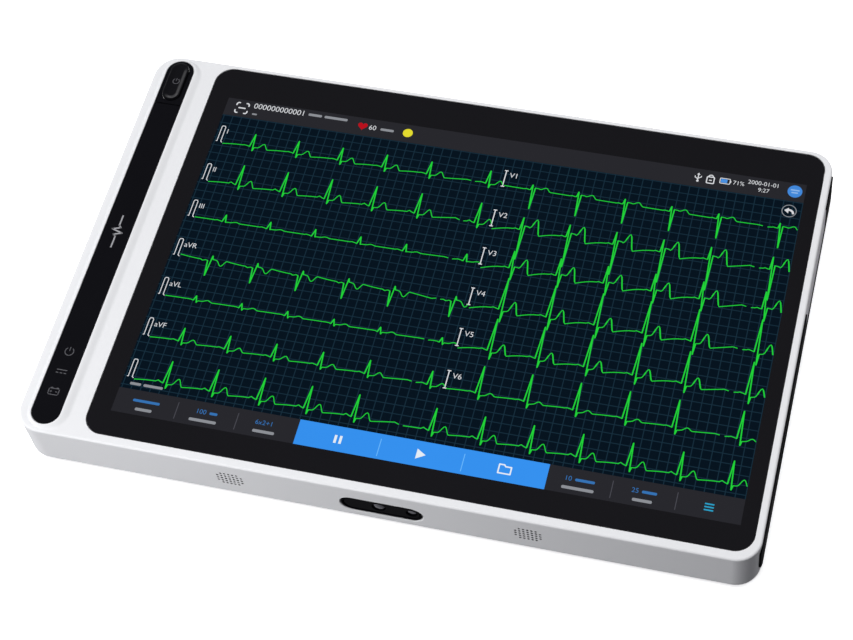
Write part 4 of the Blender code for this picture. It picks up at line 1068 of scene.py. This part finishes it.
CARRIED = {
    PANEL_BLACK: ["side_panel"],
    BLACK: ["power_switch", "scanner_engine", "speaker_left", "speaker_right", "dc_inlet",
            "battery_contacts"],
    RUBBER: ["glass_gasket", "speaker_mesh_left", "speaker_mesh_right"],
    DISPLAY_BACK: ["lcd_panel"],
    ALUMINIUM: ["mid_frame"],
    FILM: ["display_flex", "board_link", "button_flex"],
    COPPER: ["wifi_antenna"],
    GREY: ["switch_plunger"],
    BOARD: ["button_board", "main_board", "ecg_board"],
    CLEAR: ["light_guides"],
    STEEL: ["port_cover_pin", "socket_lock_front", "socket_lock_back", "coin_cell", "main_board_screw_1",
            "main_board_screw_2", "ecg_board_screw_1", "ecg_board_screw_2"],
    TIN: ["patient_socket", "usb_socket", "card_socket", "processor_shield", "ecg_shield"],
    PAD: ["heat_pad"],
    WRAP: ["battery_pack"],
    LEAD: ["speaker_lead_left", "speaker_lead_right"],
}


def dress_carried_nodes():
    for look, names in CARRIED.items():
        for name in names:
            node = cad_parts[name]
            node.data.materials.clear()
            node.data.materials.append(look)


# ---------------------------------------------------------------- stage

SUN_SIDE = (-0.12, 0.05, 1.0)
SUN_POWER = 2.3
SUN_ANGLE = 30
LAMPS = (  # name, spot in metres, size in metres, power
    ("key_light", (-0.60, -0.08, 0.70), 0.5, 2.8),
    ("front_light", (-0.15, -0.34, 0.08), 0.15, 0.53),
    ("side_light", (0.75, 0.35, 0.45), 0.5, 2.0),
)
BRIGHT_SIDE = (-0.87, 0.49, 0.0)
HORIZON = ((0.10, 0.10, 0.11), (1.0, 1.0, 1.03))
OVERHEAD = (0.02, 0.02, 0.022)
FLOOR_RADIUS = 3000
FLOOR_DEPTH = 20.0


def make_floor():
    """Pale disc that glows a little, so that it stays plain under the machine."""
    shape = lofted([(circle((0, 0), FLOOR_RADIUS, 96), z) for z in (-FLOOR_DEPTH, 0.0)])
    floor = add_object("floor", finish_mesh("floor", shape))
    look = surface("pale_floor", (0.90, 0.90, 0.905), 0.6, tint=0.01, patch=300.0, bump=0.0,
                   Emission_Color=(1.0, 1.0, 1.0, 1.0), Emission_Strength=0.6)
    floor.data.materials.append(look)
    floor.visible_diffuse = False
    floor.visible_glossy = False


def make_lamp(name, kind, spot, power, **settings):
    """A lamp at a spot in metres that faces the machine and doesn't show in its gloss."""
    lamp = bpy.data.lights.new(name, kind)
    lamp.energy = power
    for setting, value in settings.items():
        setattr(lamp, setting, value)
    item = add_object(name, lamp)
    item.location = spot
    item.rotation_euler = (-Vector(spot)).to_track_quat("-Z", "Y").to_euler()
    item.visible_glossy = False
    item.visible_camera = False


def make_world():
    """Dark overhead, and pale along the horizon on the left and behind."""
    world = bpy.data.worlds.new("studio")
    bpy.context.scene.world = world
    world.use_nodes = True
    tree = world.node_tree
    where = tree.nodes.new("ShaderNodeTexCoord").outputs["Generated"]
    split = tree.nodes.new("ShaderNodeSeparateXYZ")
    link(tree, where, split.inputs["Vector"])
    fade = ranged(tree, split.outputs["Z"], (0.05, 0.6), smooth=True)
    facing = tree.nodes.new("ShaderNodeVectorMath")
    facing.operation = "DOT_PRODUCT"
    facing.inputs[1].default_value = BRIGHT_SIDE
    link(tree, where, facing.inputs[0])
    side = ranged(tree, facing.outputs["Value"], (-0.5, 0.9))
    horizon = blend_colours(tree, side, *HORIZON)
    sky = tree.nodes.new("ShaderNodeMix")
    sky.data_type = "RGBA"
    sky.inputs["B"].default_value = (*OVERHEAD, 1.0)
    link(tree, horizon, sky.inputs["A"])
    link(tree, fade, sky.inputs["Factor"])
    link(tree, sky.outputs["Result"], tree.nodes["Background"].inputs["Color"])


def make_camera():
    camera = bpy.data.cameras.new("camera")
    camera.lens = 90.49
    camera.shift_x = -0.0830
    camera.shift_y = -0.0838
    camera.sensor_width = 36.0
    camera.clip_start = 0.01
    item = add_object("camera", camera)
    item.location = (0.15853, -0.37186, 0.65126)
    item.rotation_euler = [math.radians(angle) for angle in (33.226, 4.136, 13.483)]
    bpy.context.scene.camera = item


make_camera()
make_world()
make_floor()
make_lamp("sky_light", "SUN", SUN_SIDE, SUN_POWER, angle=math.radians(SUN_ANGLE))
for name, spot, size, power in LAMPS:
    make_lamp(name, "AREA", spot, power, size=size)
make_shell()
make_cover()
make_door()
make_screws()
make_feet()
make_strip()
make_button()
make_strip_marks()
make_glass()
make_picture()
make_traces()
make_screen_marks()
make_scanner()
make_flap()
dress_carried_nodes()
bpy.context.scene.view_settings.view_transform = "Standard"
